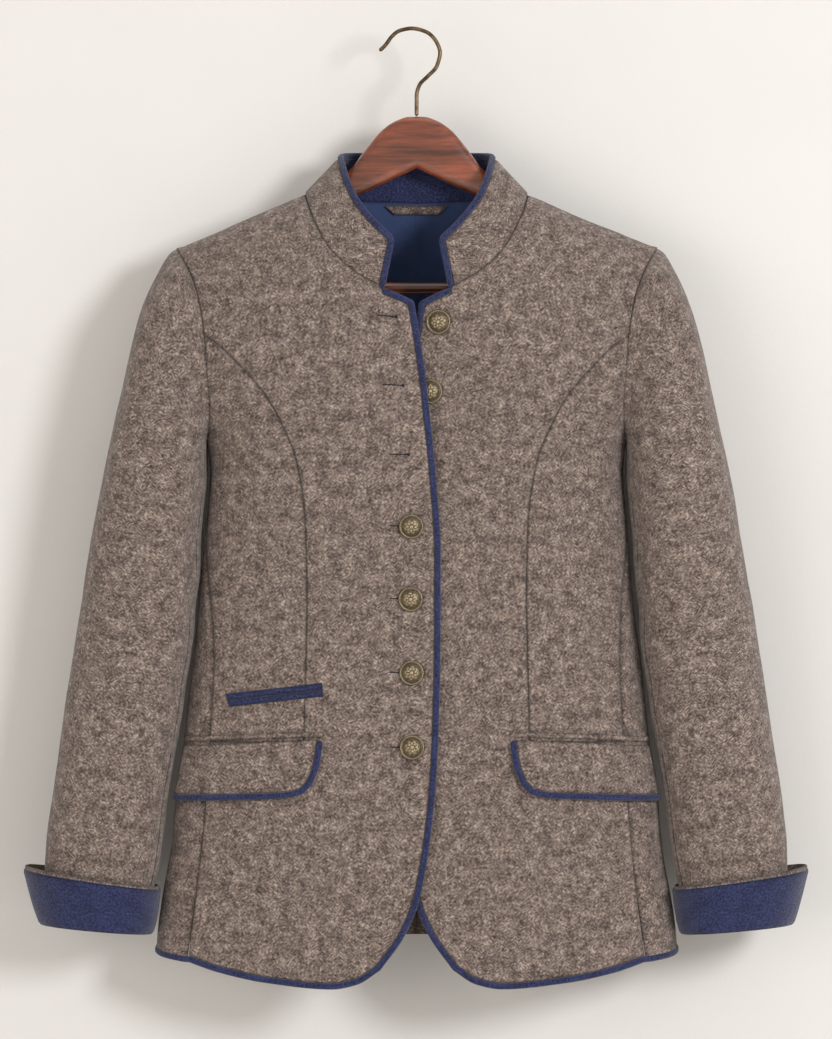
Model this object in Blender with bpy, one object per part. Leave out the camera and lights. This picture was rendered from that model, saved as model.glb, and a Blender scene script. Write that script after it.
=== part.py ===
"""A traditional milled-wool jacket on a wooden hanger, hung up by its wire hook.

The jacket's panels are walls of cloth on one smooth body surface, each cut to its seams. Sizes are in
millimetres until a point goes into a mesh, which is in metres. The origin is the inside top of the hook's
bend, +Z is up and the jacket's front faces -Y. A side of -1 is the wearer's right, which lies at -X.
"""

import math

import bmesh
import bpy
import numpy as np
from mathutils import Vector

MM = 0.001

# Cloth walls and the gaps between pieces
WOOL = 2.2
FELT = 1.4
LINING = 0.8
LINING_GAP = 3.5
GAP = 0.3
SEAM_SETBACK = 0.2

# The jacket as a whole
JACKET_CENTRE_X = 4.2
SECTION_POWER = 2.4
CHEST_Z = -300.0
YOKE_RISE = 200.0
SHOULDER_APEX_Z = -96.4
SHOULDER_SLOPE = 0.433
SHOULDER_ROUND = 30.0
UNDERARM_Z = -352.0
POCKET_LINE_Z = -607.0
PIPING_WIDTH = 4.5
PIPING_RADIUS = 2.1
PIPING_START = 0.15
PIPING_PROUD = 1.5
TUBE_ROUNDNESS = 1
MERGE_DISTANCE = 0.02
SHARP_ANGLE = math.radians(50)

# Body sections: height, half width, depth to the front and depth to the back
BODY_SECTIONS = (
    (-830.0, 226.0, 62.0, 46.0),
    (-790.0, 222.0, 62.0, 46.0),
    (-767.0, 220.0, 62.0, 46.0),
    (-697.0, 209.5, 62.0, 46.0),
    (-640.0, 205.0, 61.0, 45.0),
    (-610.0, 200.0, 60.0, 44.0),
    (-572.0, 195.5, 58.0, 42.0),
    (-515.0, 188.5, 57.0, 39.0),
    (-470.0, 184.0, 59.0, 39.0),
    (-423.0, 180.5, 64.0, 41.0),
    (-378.0, 176.5, 69.0, 43.0),
    (-352.0, 180.0, 71.0, 44.0),
    (-325.0, 196.0, 72.0, 44.0),
    (-300.0, 208.0, 72.0, 44.0),
    (-200.0, 214.0, 72.0, 44.0),
    (-100.0, 216.0, 72.0, 44.0),
)

# Edges and seams of one half, as distance from the centre line and height
SHOULDER_SEAM = ((205.7, -186.0), (150.0, -162.6), (96.0, -139.5))
NECK_SEAM_FRONT = ((96.0, -139.5), (90.0, -157.5), (74.5, -187.0), (53.0, -208.0), (27.0, -223.0))
NECK_FREE_EDGE = ((27.0, -223.0), (14.0, -228.5), (2.5, -234.0))
NECK_SEAM_BACK = ((96.0, -139.5), (80.0, -140.5), (50.0, -143.0), (0.0, -145.0))
ARMHOLE_UPPER_FRONT = ((205.7, -186.0), (193.0, -208.0), (184.0, -236.0), (180.0, -262.0))
ARMHOLE_LOWER_FRONT = ((180.0, -262.0), (177.3, -300.0), (176.0, -325.0), (177.0, -342.0), (180.0, UNDERARM_Z))
ARMHOLE_BACK = (
    (205.7, -186.0), (197.0, -208.0), (191.0, -236.0), (188.0, -263.0),
    (184.5, -306.0), (180.0, -335.0), (180.0, UNDERARM_Z),
)
PRINCESS_SEAM = (
    (180.0, -262.0), (164.0, -274.0), (148.0, -290.0), (129.0, -312.0), (116.0, -334.0),
    (101.0, -372.0), (94.5, -419.0), (93.0, -487.0), (94.0, -540.0), (95.5, POCKET_LINE_Z),
)
SIDE_SEAM_UPPER = (
    (180.0, UNDERARM_Z), (176.2, -378.0), (180.0, -436.0), (175.5, -488.0), (173.4, -538.0),
    (176.0, POCKET_LINE_Z),
)
SIDE_SEAM_LOWER = ((176.0, POCKET_LINE_Z), (180.0, -660.0), (185.7, -720.0), (195.0, -793.0))
FRONT_EDGE_UPPER = (
    (2.5, -234.0), (-3.8, -273.0), (-7.7, -302.0), (-11.6, -337.0), (-16.2, -385.0),
    (-20.0, -446.0), (-20.0, -500.0), (-19.6, -547.0), (-18.0, POCKET_LINE_Z),
)
FRONT_EDGE_LOWER = (
    (-18.0, POCKET_LINE_Z), (-16.2, -638.0), (-11.9, -682.0), (-2.2, -739.0), (10.5, -770.0), (31.0, -799.0),
)
FRONT_HEM = ((31.0, -799.0), (50.5, -811.0), (72.0, -815.0), (128.5, -810.0), (167.5, -802.0), (195.0, -793.0))

# The back hem by degrees round from centre front
BACK_HEM = ((50.0, -793.5), (60.0, -793.0), (90.0, -787.0), (120.0, -781.0), (150.0, -777.5), (180.0, -776.0))

# How far the under front is pushed in where the other one overlaps it and hides two buttons:
# height, depth, the distance from the centre line where it starts to fade and the one where it ends
OVERLAP_RECESS = (
    (-830.0, 2.5, 30.0, 90.0),
    (-790.0, 5.4, 26.0, 90.0),
    (-430.0, 5.4, 26.0, 90.0),
    (-395.0, 8.5, 26.0, 90.0),
    (-367.0, 11.0, 26.0, 90.0),
    (-310.0, 11.0, 26.0, 90.0),
    (-265.0, 6.8, 12.0, 66.0),
    (-228.0, 5.4, -2.0, 25.0),
)


def hermite(values, knots, where):
    """The value at `where` of a smooth curve through the knots that never swings past them."""
    index = int(np.clip(np.searchsorted(knots, where) - 1, 0, len(knots) - 2))
    steps = np.diff(knots)
    slopes = np.diff(values) / steps
    tangents = np.empty(len(knots))
    tangents[0] = slopes[0]
    tangents[-1] = slopes[-1]
    for k in range(1, len(knots) - 1):
        same_way = slopes[k - 1] * slopes[k] > 0
        tangents[k] = 2 * slopes[k - 1] * slopes[k] / (slopes[k - 1] + slopes[k]) if same_way else 0.0
    step = steps[index]
    part = min(max((where - knots[index]) / step, 0.0), 1.0)
    return (
        values[index] * (1 + 2 * part) * (1 - part) ** 2
        + values[index + 1] * part**2 * (3 - 2 * part)
        + step * tangents[index] * part * (1 - part) ** 2
        - step * tangents[index + 1] * part**2 * (1 - part)
    )


def from_table(table, where):
    """The table's columns at a value of its first column."""
    columns = np.array(table, float).T
    return [hermite(column, columns[0], where) for column in columns[1:]]


def smooth_step(value):
    part = min(max(value, 0.0), 1.0)
    return part * part * (3 - 2 * part)


def resampled(points, count):
    """Points at even steps along a smooth curve through the given ones, `count` steps in all."""
    points = np.array(points, float)
    lengths = np.concatenate([[0.0], np.cumsum(np.linalg.norm(np.diff(points, axis=0), axis=1))])
    places = np.linspace(0.0, lengths[-1], count + 1)
    curve = [[hermite(column, lengths, place) for column in points.T] for place in places]
    return np.array(curve)


def joined(*stretches):
    """One edge from stretches of (points, steps), with a corner kept where two stretches meet."""
    edge = [resampled(points, count) for points, count in stretches]
    return np.concatenate([edge[0]] + [stretch[1:] for stretch in edge[1:]])


def inset(points, distance):
    """A flat line moved sideways, to its left hand as it runs, with its corners kept sharp."""
    points = np.array(points, float)
    along = np.diff(points, axis=0)
    along /= np.linalg.norm(along, axis=1)[:, None]
    aside = np.stack([-along[:, 1], along[:, 0]], axis=1)
    before = np.concatenate([aside[:1], aside])
    after = np.concatenate([aside, aside[-1:]])
    spread = 1 + np.sum(before * after, axis=1)
    return points + distance * (before + after) / spread[:, None]


def shoulder_z(x):
    return SHOULDER_APEX_Z - SHOULDER_SLOPE * math.hypot(x, SHOULDER_ROUND)


def body_point(angle, level):
    """A point of the body surface. The angle is 0 at centre front, and level is the height up to the chest."""
    half_width, front, back = from_table(BODY_SECTIONS, level)
    across = math.sin(angle)
    ahead = math.cos(angle)
    power = 2 / SECTION_POWER
    x = math.copysign(half_width * abs(across) ** power, across)
    depth = front if ahead > 0 else back
    y = -math.copysign(depth * abs(ahead) ** power, ahead)
    if level <= CHEST_Z:
        return np.array([x, y, level])
    turn = (level - CHEST_Z) / YOKE_RISE * math.pi / 2
    return np.array([x, y * math.cos(turn), CHEST_Z + (shoulder_z(x) - CHEST_Z) * math.sin(turn)])


def body_place(x, z, behind=False):
    """The angle and level of the body point that shows at (x, z), on the front or behind."""
    level = z
    if z > CHEST_Z:
        rise = min((z - CHEST_Z) / (shoulder_z(x) - CHEST_Z), 1.0)
        level = CHEST_Z + YOKE_RISE * math.asin(rise) / (math.pi / 2)
    half_width = from_table(BODY_SECTIONS, level)[0]
    angle = math.asin(min(abs(x) / half_width, 1.0) ** (SECTION_POWER / 2))
    if behind:
        angle = math.pi - angle
    return np.array([math.copysign(angle, x), level])


def overlap_recess(x, z):
    depth, fades, ends = from_table(OVERLAP_RECESS, z)
    return depth * smooth_step((ends - x) / (ends - fades))


def surface_normal(surface, angle, level):
    """The outward direction of a surface, from its own slopes."""
    small = 0.002
    rise = 0.2
    across = surface(angle + small, level) - surface(angle - small, level)
    up = surface(angle, level + rise) - surface(angle, level - rise)
    normal = np.cross(across, up)
    return normal / np.linalg.norm(normal)


def under_front_point(angle, level):
    """The body surface under the wearer's right front, pushed in where that one overlaps."""
    point = body_point(angle, level)
    recess = overlap_recess(point[0], point[2])
    if recess < 0.01:
        return point
    return point - recess * surface_normal(body_point, angle, level)


def coons(top, bottom, left, right):
    """A grid of points filled in between four edges, from top to bottom and from left to right."""
    columns = len(top) - 1
    rows = len(left) - 1
    grid = np.empty((rows + 1, columns + 1, len(top[0])))
    for row in range(rows + 1):
        down = row / rows
        for column in range(columns + 1):
            over = column / columns
            corners = (
                (1 - down) * ((1 - over) * top[0] + over * top[-1])
                + down * ((1 - over) * bottom[0] + over * bottom[-1])
            )
            grid[row, column] = (
                (1 - down) * top[column] + down * bottom[column]
                + (1 - over) * left[row] + over * right[row] - corners
            )
    return grid


def on_body(points, side, behind=False):
    """Body places of a line given by distance from the centre line and height."""
    places = [body_place(x, z, behind) for x, z in points]
    return np.array([(side * angle, level) for angle, level in places])


def add_patch(bm, grid, place):
    """A flat grid of faces whose points are moved to place(row of the grid's values)."""
    rows, columns = len(grid) - 1, len(grid[0]) - 1
    normals = bm.verts.layers.float_vector["outward"]
    made = bmesh.ops.create_grid(bm, x_segments=columns, y_segments=rows, size=0.5)
    for vert in made["verts"]:
        column = round((vert.co.x + 0.5) * columns)
        row = round((vert.co.y + 0.5) * rows)
        point, normal = place(grid[row][column])
        vert.co = Vector(point) * MM
        vert[normals] = Vector(normal)


def set_back_rim(bm, distance):
    """Moves the open rim into the sheet, so that a gap is left to the next piece."""
    moves = {}
    for edge in bm.edges:
        if not edge.is_boundary:
            continue
        face = edge.link_faces[0]
        first, second = edge.verts
        along = (second.co - first.co).normalized()
        inward = face.calc_center_median() - first.co
        inward = (inward - along * inward.dot(along)).normalized()
        for vert in edge.verts:
            moves.setdefault(vert, []).append(inward)
    for vert, (first, second) in moves.items():
        vert.co += (first + second) * (distance * MM / (1 + first.dot(second)))


def new_object(name, bm, material, smooth=True):
    mesh = bpy.data.meshes.new(name)
    bm.to_mesh(mesh)
    bm.free()
    obj = bpy.data.objects.new(name, mesh)
    garment.objects.link(obj)
    mesh.materials.append(material)
    if smooth:
        mesh.shade_smooth()
        mesh.set_sharp_from_angle(angle=SHARP_ANGLE)
    return obj


def cloth_piece(name, material, patches, place, outside, thickness, set_back=SEAM_SETBACK):
    """A wall of cloth: the sheet made from the patches, `outside` off its surface, and its inner face."""
    bm = bmesh.new()
    normals = bm.verts.layers.float_vector.new("outward")
    for grid in patches:
        add_patch(bm, grid, place)
    bmesh.ops.remove_doubles(bm, verts=bm.verts[:], dist=MERGE_DISTANCE * MM)
    if set_back:
        set_back_rim(bm, set_back)
    outer = bm.verts[:]
    made = bmesh.ops.extrude_face_region(bm, geom=bm.faces[:], use_keep_orig=True)
    inner = [item for item in made["geom"] if isinstance(item, bmesh.types.BMVert)]
    for vert in outer:
        vert.co += vert[normals] * (outside * MM)
    for vert in inner:
        vert.co += vert[normals] * ((outside - thickness) * MM)
    bmesh.ops.recalc_face_normals(bm, faces=bm.faces[:])
    return new_object(name, bm, material)


def paint(name, colour, roughness, metallic=0.0):
    """A plain finish with the part's colour from the photograph."""
    material = bpy.data.materials.new(name)
    material.use_nodes = True
    shader = material.node_tree.nodes["Principled BSDF"]
    shader.inputs["Base Color"].default_value = (*colour, 1.0)
    shader.inputs["Roughness"].default_value = roughness
    shader.inputs["Metallic"].default_value = metallic
    material.diffuse_color = (*colour, 1.0)
    return material


def body_sheet(surface):
    """A placer for points given as body places, on the given surface."""

    def place(values):
        angle, level = values
        return surface(angle, level) + CENTRE, surface_normal(surface, angle, level)

    return place


def half_name(side):
    return "right" if side < 0 else "left"


# Steps along the edges of the fronts
SHOULDER_STEPS = 8
BACK_SHOULDER_STEPS = 5
NECK_STEPS = 6
FREE_EDGE_STEPS = 2
ARMHOLE_UPPER_STEPS = 4
SEAM_STEPS = 14
FRONT_UPPER_STEPS = ARMHOLE_UPPER_STEPS + SEAM_STEPS - NECK_STEPS - FREE_EDGE_STEPS
FRONT_LOWER_STEPS = 8
SKIRT_SIDE_STEPS = 5


def front_outline():
    """The outer edge of one front with its piping, from the collar's end down the front and along the hem."""
    return joined(
        (NECK_FREE_EDGE, FREE_EDGE_STEPS),
        (FRONT_EDGE_UPPER, FRONT_UPPER_STEPS),
        (FRONT_EDGE_LOWER, FRONT_LOWER_STEPS),
        (FRONT_HEM, SKIRT_SIDE_STEPS + SHOULDER_STEPS),
    )


def front_panels(side, wool):
    """The front with its skirt, cut in one, and the side panel between the princess and side seams."""
    name = half_name(side)
    surface = under_front_point if side > 0 else body_point
    cut = inset(front_outline(), PIPING_WIDTH + GAP)
    pocket_end = FREE_EDGE_STEPS + FRONT_UPPER_STEPS
    hem_start = pocket_end + FRONT_LOWER_STEPS
    shoulder = resampled(SHOULDER_SEAM, SHOULDER_STEPS)
    stepped = np.concatenate([cut[:1], cut[FREE_EDGE_STEPS : pocket_end + 1]])
    inner = np.concatenate([resampled(NECK_SEAM_FRONT, NECK_STEPS), stepped])
    outer = joined((ARMHOLE_UPPER_FRONT, ARMHOLE_UPPER_STEPS), (PRINCESS_SEAM, SEAM_STEPS))
    pocket_line = resampled((PRINCESS_SEAM[-1], cut[pocket_end]), SHOULDER_STEPS)
    hem = cut[hem_start:][::-1]
    skirt_fold = resampled((PRINCESS_SEAM[-1], hem[SKIRT_SIDE_STEPS]), FRONT_LOWER_STEPS)
    skirt_side_top = resampled((SIDE_SEAM_LOWER[0], PRINCESS_SEAM[-1]), SKIRT_SIDE_STEPS)
    side_seam = resampled(SIDE_SEAM_LOWER[:-1] + (tuple(hem[0]),), FRONT_LOWER_STEPS)

    def lines(*edges):
        return [on_body(edge, side) for edge in edges]

    upper = coons(*lines(shoulder, pocket_line, outer, inner))
    skirt = coons(*lines(pocket_line, hem[SKIRT_SIDE_STEPS:], skirt_fold, cut[pocket_end : hem_start + 1]))
    skirt_side = coons(*lines(skirt_side_top, hem[: SKIRT_SIDE_STEPS + 1], side_seam, skirt_fold))
    place = body_sheet(surface)
    cloth_piece(f"front_{name}", wool, (upper, skirt, skirt_side), place, 0.0, WOOL)

    armhole = resampled(ARMHOLE_LOWER_FRONT[::-1], SKIRT_SIDE_STEPS)
    side_panel = coons(
        *lines(
            armhole, skirt_side_top, resampled(SIDE_SEAM_UPPER, SEAM_STEPS), resampled(PRINCESS_SEAM, SEAM_STEPS)
        )
    )
    cloth_piece(f"front_side_{name}", wool, (side_panel,), place, 0.0, WOOL)


def back_panel(side, wool):
    """One back, from the centre seam round to the side seam, which lies on the front."""
    armhole = on_body(resampled(ARMHOLE_BACK, ARMHOLE_UPPER_STEPS + SKIRT_SIDE_STEPS), side, behind=True)
    seam = on_body(joined((SIDE_SEAM_UPPER, SEAM_STEPS), (SIDE_SEAM_LOWER, FRONT_LOWER_STEPS)), side)
    outer = np.concatenate([armhole[:-1], seam])
    top_line = joined((SHOULDER_SEAM, BACK_SHOULDER_STEPS), (NECK_SEAM_BACK, NECK_STEPS))
    top = on_body(top_line, side, behind=True)
    drop = (outer[:, 1] - outer[0, 1]) / (outer[-1, 1] - outer[0, 1])
    hem_end = BACK_HEM[-1][1]
    centre = np.stack([np.full(len(outer), side * math.pi), top[-1, 1] + drop * (hem_end - top[-1, 1])], axis=1)
    angles = np.linspace(outer[-1, 0], side * math.pi, len(top))
    hem = np.array([(angle, from_table(BACK_HEM, math.degrees(abs(angle)))[0]) for angle in angles])
    hem[0] = outer[-1]
    grid = coons(top, hem, outer, centre)
    cloth_piece(f"back_{half_name(side)}", wool, (grid,), body_sheet(body_point), 0.0, WOOL)


# The back lining that shows through the neck and the front gap
LINING_TOP = ((150.0, -182.0), (96.0, -161.0), (50.0, -152.5), (0.0, -151.5))
LINING_FOOT = ((150.0, -762.0), (0.0, -756.0))
LINING_COLUMNS = 8
LINING_ROWS = 11


def back_lining(side, lining):
    top = on_body(resampled(LINING_TOP, LINING_COLUMNS), side, behind=True)
    foot = on_body(resampled(LINING_FOOT, LINING_COLUMNS), side, behind=True)
    outer = np.linspace(top[0], foot[0], LINING_ROWS + 1)
    centre = np.linspace(top[-1], foot[-1], LINING_ROWS + 1)
    grid = coons(top, foot, outer, centre)
    cloth_piece(
        f"back_lining_{half_name(side)}", lining, (grid,), body_sheet(body_point), -(WOOL + LINING_GAP), LINING
    )


# The collar's top edge by share from centre back to its front end: distance from the centre line, depth
# and height. Its foot is the neck seam.
COLLAR_TOP = (
    (0.0, 0.0, 27.0, -104.0),
    (0.26, 34.0, 24.5, -104.0),
    (0.42, 56.0, 14.0, -104.5),
    (0.5, 64.0, 0.0, -106.0),
    (0.585, 61.0, -21.0, -118.0),
    (0.733, 54.0, -38.0, -138.0),
    (0.867, 38.0, -50.0, -161.0),
    (1.0, 19.3, -57.0, -180.0),
)
COLLAR_HEIGHT = 44.0
COLLAR_HALF_LENGTH = 215.0
COLLAR_STEPS = 4 * NECK_STEPS
COLLAR_ROWS = 3
COLLAR_FOOT_GAP = 0.014
# The piping up the collar's front edge, as shares of its height, and how far it is from the corner
# before it runs on along the top, as a share of half the collar's length
COLLAR_PIPING_RISE = (0.02, 0.899)
COLLAR_CORNER = 0.01


def neck_ring():
    """The neck seam as the panels have it, from centre back to the front of one half."""
    back = resampled(NECK_SEAM_BACK[::-1], NECK_STEPS)
    front = resampled(NECK_SEAM_FRONT, NECK_STEPS)[1:]
    behind = [body_point(*body_place(x, z, behind=True)) for x, z in back]
    ahead = [body_point(*body_place(x, z)) for x, z in front]
    return np.array(behind + ahead)


def along_points(points, share):
    """The place at a share of the way along a row of points, straight between each two."""
    place = min(share, 1.0) * (len(points) - 1)
    start = min(int(place), len(points) - 2)
    return points[start] + (place - start) * (points[start + 1] - points[start])


def collar_point(share, rise):
    """A point of the collar: share runs from -1 to 1 round the neck, rise from 0 at the seam to 1 on top."""
    foot = along_points(NECK_RING, abs(share))
    top = np.array(from_table(COLLAR_TOP, abs(share)))
    return (foot + rise * (top - foot)) * np.array([math.copysign(1.0, share), 1.0, 1.0])


def slope_normal(surface, first, second, turned=1.0):
    small = 0.01
    across = surface(first + small, second) - surface(first - small, second)
    up = surface(first, second + small) - surface(first, second - small)
    normal = np.cross(across, up) * turned
    return normal / np.linalg.norm(normal)


def even_grid(first_range, second_range, columns, rows):
    firsts = np.linspace(*first_range, columns + 1)
    seconds = np.linspace(*second_range, rows + 1)
    return np.array([[(first, second) for first in firsts] for second in seconds])


def collar(wool, felt):
    def place(values):
        share, rise = values
        return collar_point(share, rise) + CENTRE, slope_normal(collar_point, share, rise, -1.0)

    end = 1 - (PIPING_WIDTH + 2 * GAP) / COLLAR_HALF_LENGTH
    top = 1 - (PIPING_WIDTH + 2 * GAP) / COLLAR_HEIGHT
    grid = even_grid((-end, end), (COLLAR_FOOT_GAP, top), COLLAR_STEPS, COLLAR_ROWS)
    cloth_piece("collar", wool, (grid,), place, 0.0, WOOL)
    cloth_piece("collar_facing", felt, (grid,), place, -(WOOL + GAP), FELT)


def collar_piping(felt):
    end = 1 - PIPING_WIDTH / 2 / COLLAR_HALF_LENGTH
    top = 1 - PIPING_WIDTH / 2 / COLLAR_HEIGHT
    front = [(end, rise) for rise in np.linspace(*COLLAR_PIPING_RISE, COLLAR_ROWS * 2)]
    over = [(share, top) for share in np.linspace(end - COLLAR_CORNER, 0.0, COLLAR_STEPS // 2 + 1)]
    half = front + over
    path = half + [(-share, rise) for share, rise in half[-2::-1]]
    depth = PIPING_WIDTH / 2 - PIPING_PROUD
    points = [
        collar_point(share, rise) - depth * slope_normal(collar_point, share, rise, -1.0) + CENTRE
        for share, rise in path
    ]
    tube("collar_piping", points, PIPING_RADIUS, felt)


def tube(name, points, radius, material, roundness=TUBE_ROUNDNESS):
    """A round cord, wire or piping along the points."""
    curve = bpy.data.curves.new(name, "CURVE")
    curve.dimensions = "3D"
    curve.bevel_depth = radius * MM
    curve.bevel_resolution = roundness
    curve.use_fill_caps = True
    spline = curve.splines.new("POLY")
    spline.points.add(len(points) - 1)
    for control, point in zip(spline.points, points):
        control.co = (*(Vector(point) * MM), 1.0)
    obj = bpy.data.objects.new(name, curve)
    garment.objects.link(obj)
    curve.materials.append(material)
    return obj


def front_piping(side, felt):
    surface = under_front_point if side > 0 else body_point
    depth = PIPING_WIDTH / 2 - PIPING_PROUD
    line = inset(front_outline(), PIPING_WIDTH / 2)[:-1]
    line[0] += PIPING_START * (line[1] - line[0])
    points = []
    for angle, level in on_body(line, side):
        normal = surface_normal(surface, angle, level)
        points.append(surface(angle, level) - depth * normal + CENTRE)
    tube(f"front_piping_{half_name(side)}", points, PIPING_RADIUS, felt)


# Sleeve sections from the armhole to the hidden end: outer edge x and z, inner edge x and z,
# the centre's depth, and how far the sleeve reaches to the front and to the back of it
SLEEVE_SECTIONS = (
    (0.0, 205.7, -187.5, 180.0, -352.0, 0.0, 44.0, 30.0),
    (1.0, 214.5, -192.0, 180.0, -360.0, 0.0, 50.0, 38.0),
    (2.0, 223.0, -211.0, 178.9, -370.0, -1.0, 55.0, 44.0),
    (3.0, 238.0, -249.0, 178.8, -384.0, -2.0, 58.0, 48.0),
    (4.0, 255.7, -324.0, 180.6, -402.0, -4.0, 59.0, 49.0),
    (5.0, 268.0, -383.0, 183.4, -430.0, -6.0, 57.0, 48.0),
    (6.0, 280.0, -453.0, 187.2, -480.0, -8.0, 54.0, 46.0),
    (7.0, 290.0, -515.0, 192.6, -530.0, -10.0, 51.0, 44.0),
    (8.0, 299.5, -572.0, 199.6, -582.0, -12.0, 48.0, 42.0),
    (9.0, 308.6, -641.0, 210.8, -650.0, -13.0, 45.0, 40.0),
    (10.0, 315.0, -693.0, 217.6, -704.0, -14.0, 42.0, 38.0),
    (11.0, 317.0, -730.0, 224.8, -738.0, -15.0, 37.5, 36.0),
    (12.0, 318.0, -760.5, 228.3, -768.5, -15.0, 36.4, 35.4),
)
SLEEVE_POWER = 2.25
# Steps in degrees and in sections that the slopes of a sleeve and a cuff are taken over
PROBE_TURN = 2.0
PROBE_SHARE = 0.02
SLEEVE_ROWS = 16
SLEEVE_SEAM_GAP = 0.14
SLEEVE_SETBACK = 0.5
ARMHOLE_REACH = 2.6
TOP_SLEEVE_FROM = -140.0
TOP_SLEEVE_TO = 120.0
TOP_SLEEVE_STEPS = 13
UNDER_SLEEVE_STEPS = 5


def section_point(outer, inner, centre_y, front, back, angle, power):
    """A point of a rounded section, from its outer edge at 0 round the front at a quarter turn."""
    middle = (outer + inner) / 2
    along = math.copysign(abs(math.cos(angle)) ** (2 / power), math.cos(angle))
    depth = math.copysign(abs(math.sin(angle)) ** (2 / power), math.sin(angle))
    x, z = middle + along * (outer - inner) / 2
    return np.array([x, centre_y - depth * (front if depth > 0 else back), z])


def armhole_loops():
    """The armhole as the body surface has it, from the shoulder down the front and down the back."""
    front = joined((ARMHOLE_UPPER_FRONT, ARMHOLE_UPPER_STEPS), (ARMHOLE_LOWER_FRONT, SKIRT_SIDE_STEPS))
    back = resampled(ARMHOLE_BACK, ARMHOLE_UPPER_STEPS + SKIRT_SIDE_STEPS)
    return (
        np.array([body_point(*body_place(x, z)) for x, z in front]),
        np.array([body_point(*body_place(x, z, behind=True)) for x, z in back]),
    )


def sleeve_point(degrees, section):
    """A point of a left sleeve, by degrees round from its outer edge and by section down it."""
    angle = math.radians(degrees)
    outer_x, outer_z, inner_x, inner_z, centre_y, front, back = from_table(SLEEVE_SECTIONS, section)
    point = section_point(
        np.array([outer_x, outer_z]), np.array([inner_x, inner_z]), centre_y, front, back, angle, SLEEVE_POWER
    )
    if section >= ARMHOLE_REACH:
        return point
    turn = (degrees + 180) % 360 - 180
    at_armhole = along_points(ARMHOLES[0] if turn > 0 else ARMHOLES[1], abs(turn) / 180)
    share = smooth_step(max(section, 0.0) / ARMHOLE_REACH)
    return at_armhole + share * (point - at_armhole)


def sleeve(side, wool):
    def surface(degrees, section):
        return sleeve_point(degrees, section) * np.array([side, 1.0, 1.0])

    def place(values):
        degrees, section = values
        across = surface(degrees + PROBE_TURN, section) - surface(degrees - PROBE_TURN, section)
        down = surface(degrees, section + PROBE_SHARE) - surface(degrees, max(section - PROBE_SHARE, 0.0))
        normal = np.cross(across, down) * side
        return surface(degrees, section) + CENTRE, normal / np.linalg.norm(normal)

    name = half_name(side)
    last = SLEEVE_SECTIONS[-1][0]
    top = even_grid((TOP_SLEEVE_FROM, TOP_SLEEVE_TO), (SLEEVE_SEAM_GAP, last), TOP_SLEEVE_STEPS, SLEEVE_ROWS)
    turn_under = (TOP_SLEEVE_TO, TOP_SLEEVE_FROM + 360)
    under = even_grid(turn_under, (SLEEVE_SEAM_GAP, last), UNDER_SLEEVE_STEPS, SLEEVE_ROWS)
    cloth_piece(f"sleeve_top_{name}", wool, (top,), place, 0.0, WOOL, SLEEVE_SETBACK)
    cloth_piece(f"sleeve_under_{name}", wool, (under,), place, 0.0, WOOL, SLEEVE_SETBACK)


# The turned-back cuff from its fold, at the bottom, to its free edge: outer edge x and z, inner edge x
# and z, the centre's depth, and how far it reaches to the front and to the back of it
CUFF_SECTIONS = (
    (0.0, 321.5, -763.0, 224.6, -771.5, -15.0, 41.0, 40.0),
    (0.3, 326.0, -750.0, 221.5, -761.0, -15.0, 43.5, 42.0),
    (1.0, 335.6, -713.5, 217.2, -731.0, -15.0, 50.0, 47.0),
)
CUFF_POWER = 2.3
CUFF_STEPS = 20
CUFF_ROWS = 3
FACING_TOP = 0.95
TURN_FOOT = 0.02


def cuff(side, wool, felt):
    """The wool turned up at the sleeve's end, and the felt facing on it that shows outside."""

    def surface(degrees, rise):
        outer_x, outer_z, inner_x, inner_z, centre_y, front, back = from_table(CUFF_SECTIONS, rise)
        point = section_point(
            np.array([outer_x, outer_z]), np.array([inner_x, inner_z]), centre_y, front, back,
            math.radians(degrees), CUFF_POWER,
        )
        return point * np.array([side, 1.0, 1.0])

    def place(values):
        degrees, rise = values
        across = surface(degrees + PROBE_TURN, rise) - surface(degrees - PROBE_TURN, rise)
        low, high = max(rise - PROBE_SHARE, 0.0), min(rise + PROBE_SHARE, 1.0)
        normal = np.cross(across, surface(degrees, high) - surface(degrees, low)) * -side
        return surface(degrees, rise) + CENTRE, normal / np.linalg.norm(normal)

    name = half_name(side)
    round_cuff = (-180.0, 180.0)
    facing = even_grid(round_cuff, (0.0, FACING_TOP), CUFF_STEPS, CUFF_ROWS)
    turn = even_grid(round_cuff, (TURN_FOOT, 1.0), CUFF_STEPS, CUFF_ROWS)
    cloth_piece(f"cuff_facing_{name}", felt, (facing,), place, 0.0, FELT, 0)
    cloth_piece(f"cuff_{name}", wool, (turn,), place, -(FELT + GAP), WOOL, 0)


# Pocket flap: its top edge, its outer end, and its piped front end and foot
FLAP_TOP = ((197.0, -611.0), (150.0, -608.0), (79.0, -605.5))
FLAP_OUTER = ((197.0, -611.0), (201.5, -640.0), (203.5, -657.5))
FLAP_FRONT = ((79.0, -605.5), (82.0, -626.0), (88.0, -642.0))
FLAP_FOOT = ((88.0, -642.0), (97.0, -650.5), (112.0, -653.8), (150.0, -655.5), (203.5, -657.5))
FLAP_END_STEPS = 4
FLAP_FOOT_STEPS = 12
FLAP_LIFT_TOP = 0.9
FLAP_LIFT_FOOT = 2.8
JET_HEIGHT = 4.6
JET_THICKNESS = 1.5
JET_LIFT = 1.1
JET_ABOVE_FLAP = 3.2


def lifted(lines_grid, lift_top, lift_foot):
    """The grid with a third value, how far each row stands off the surface."""
    rows = len(lines_grid)
    lifts = np.linspace(lift_top, lift_foot, rows)[:, None, None] * np.ones((1, len(lines_grid[0]), 1))
    return np.concatenate([lines_grid, lifts], axis=2)


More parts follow.
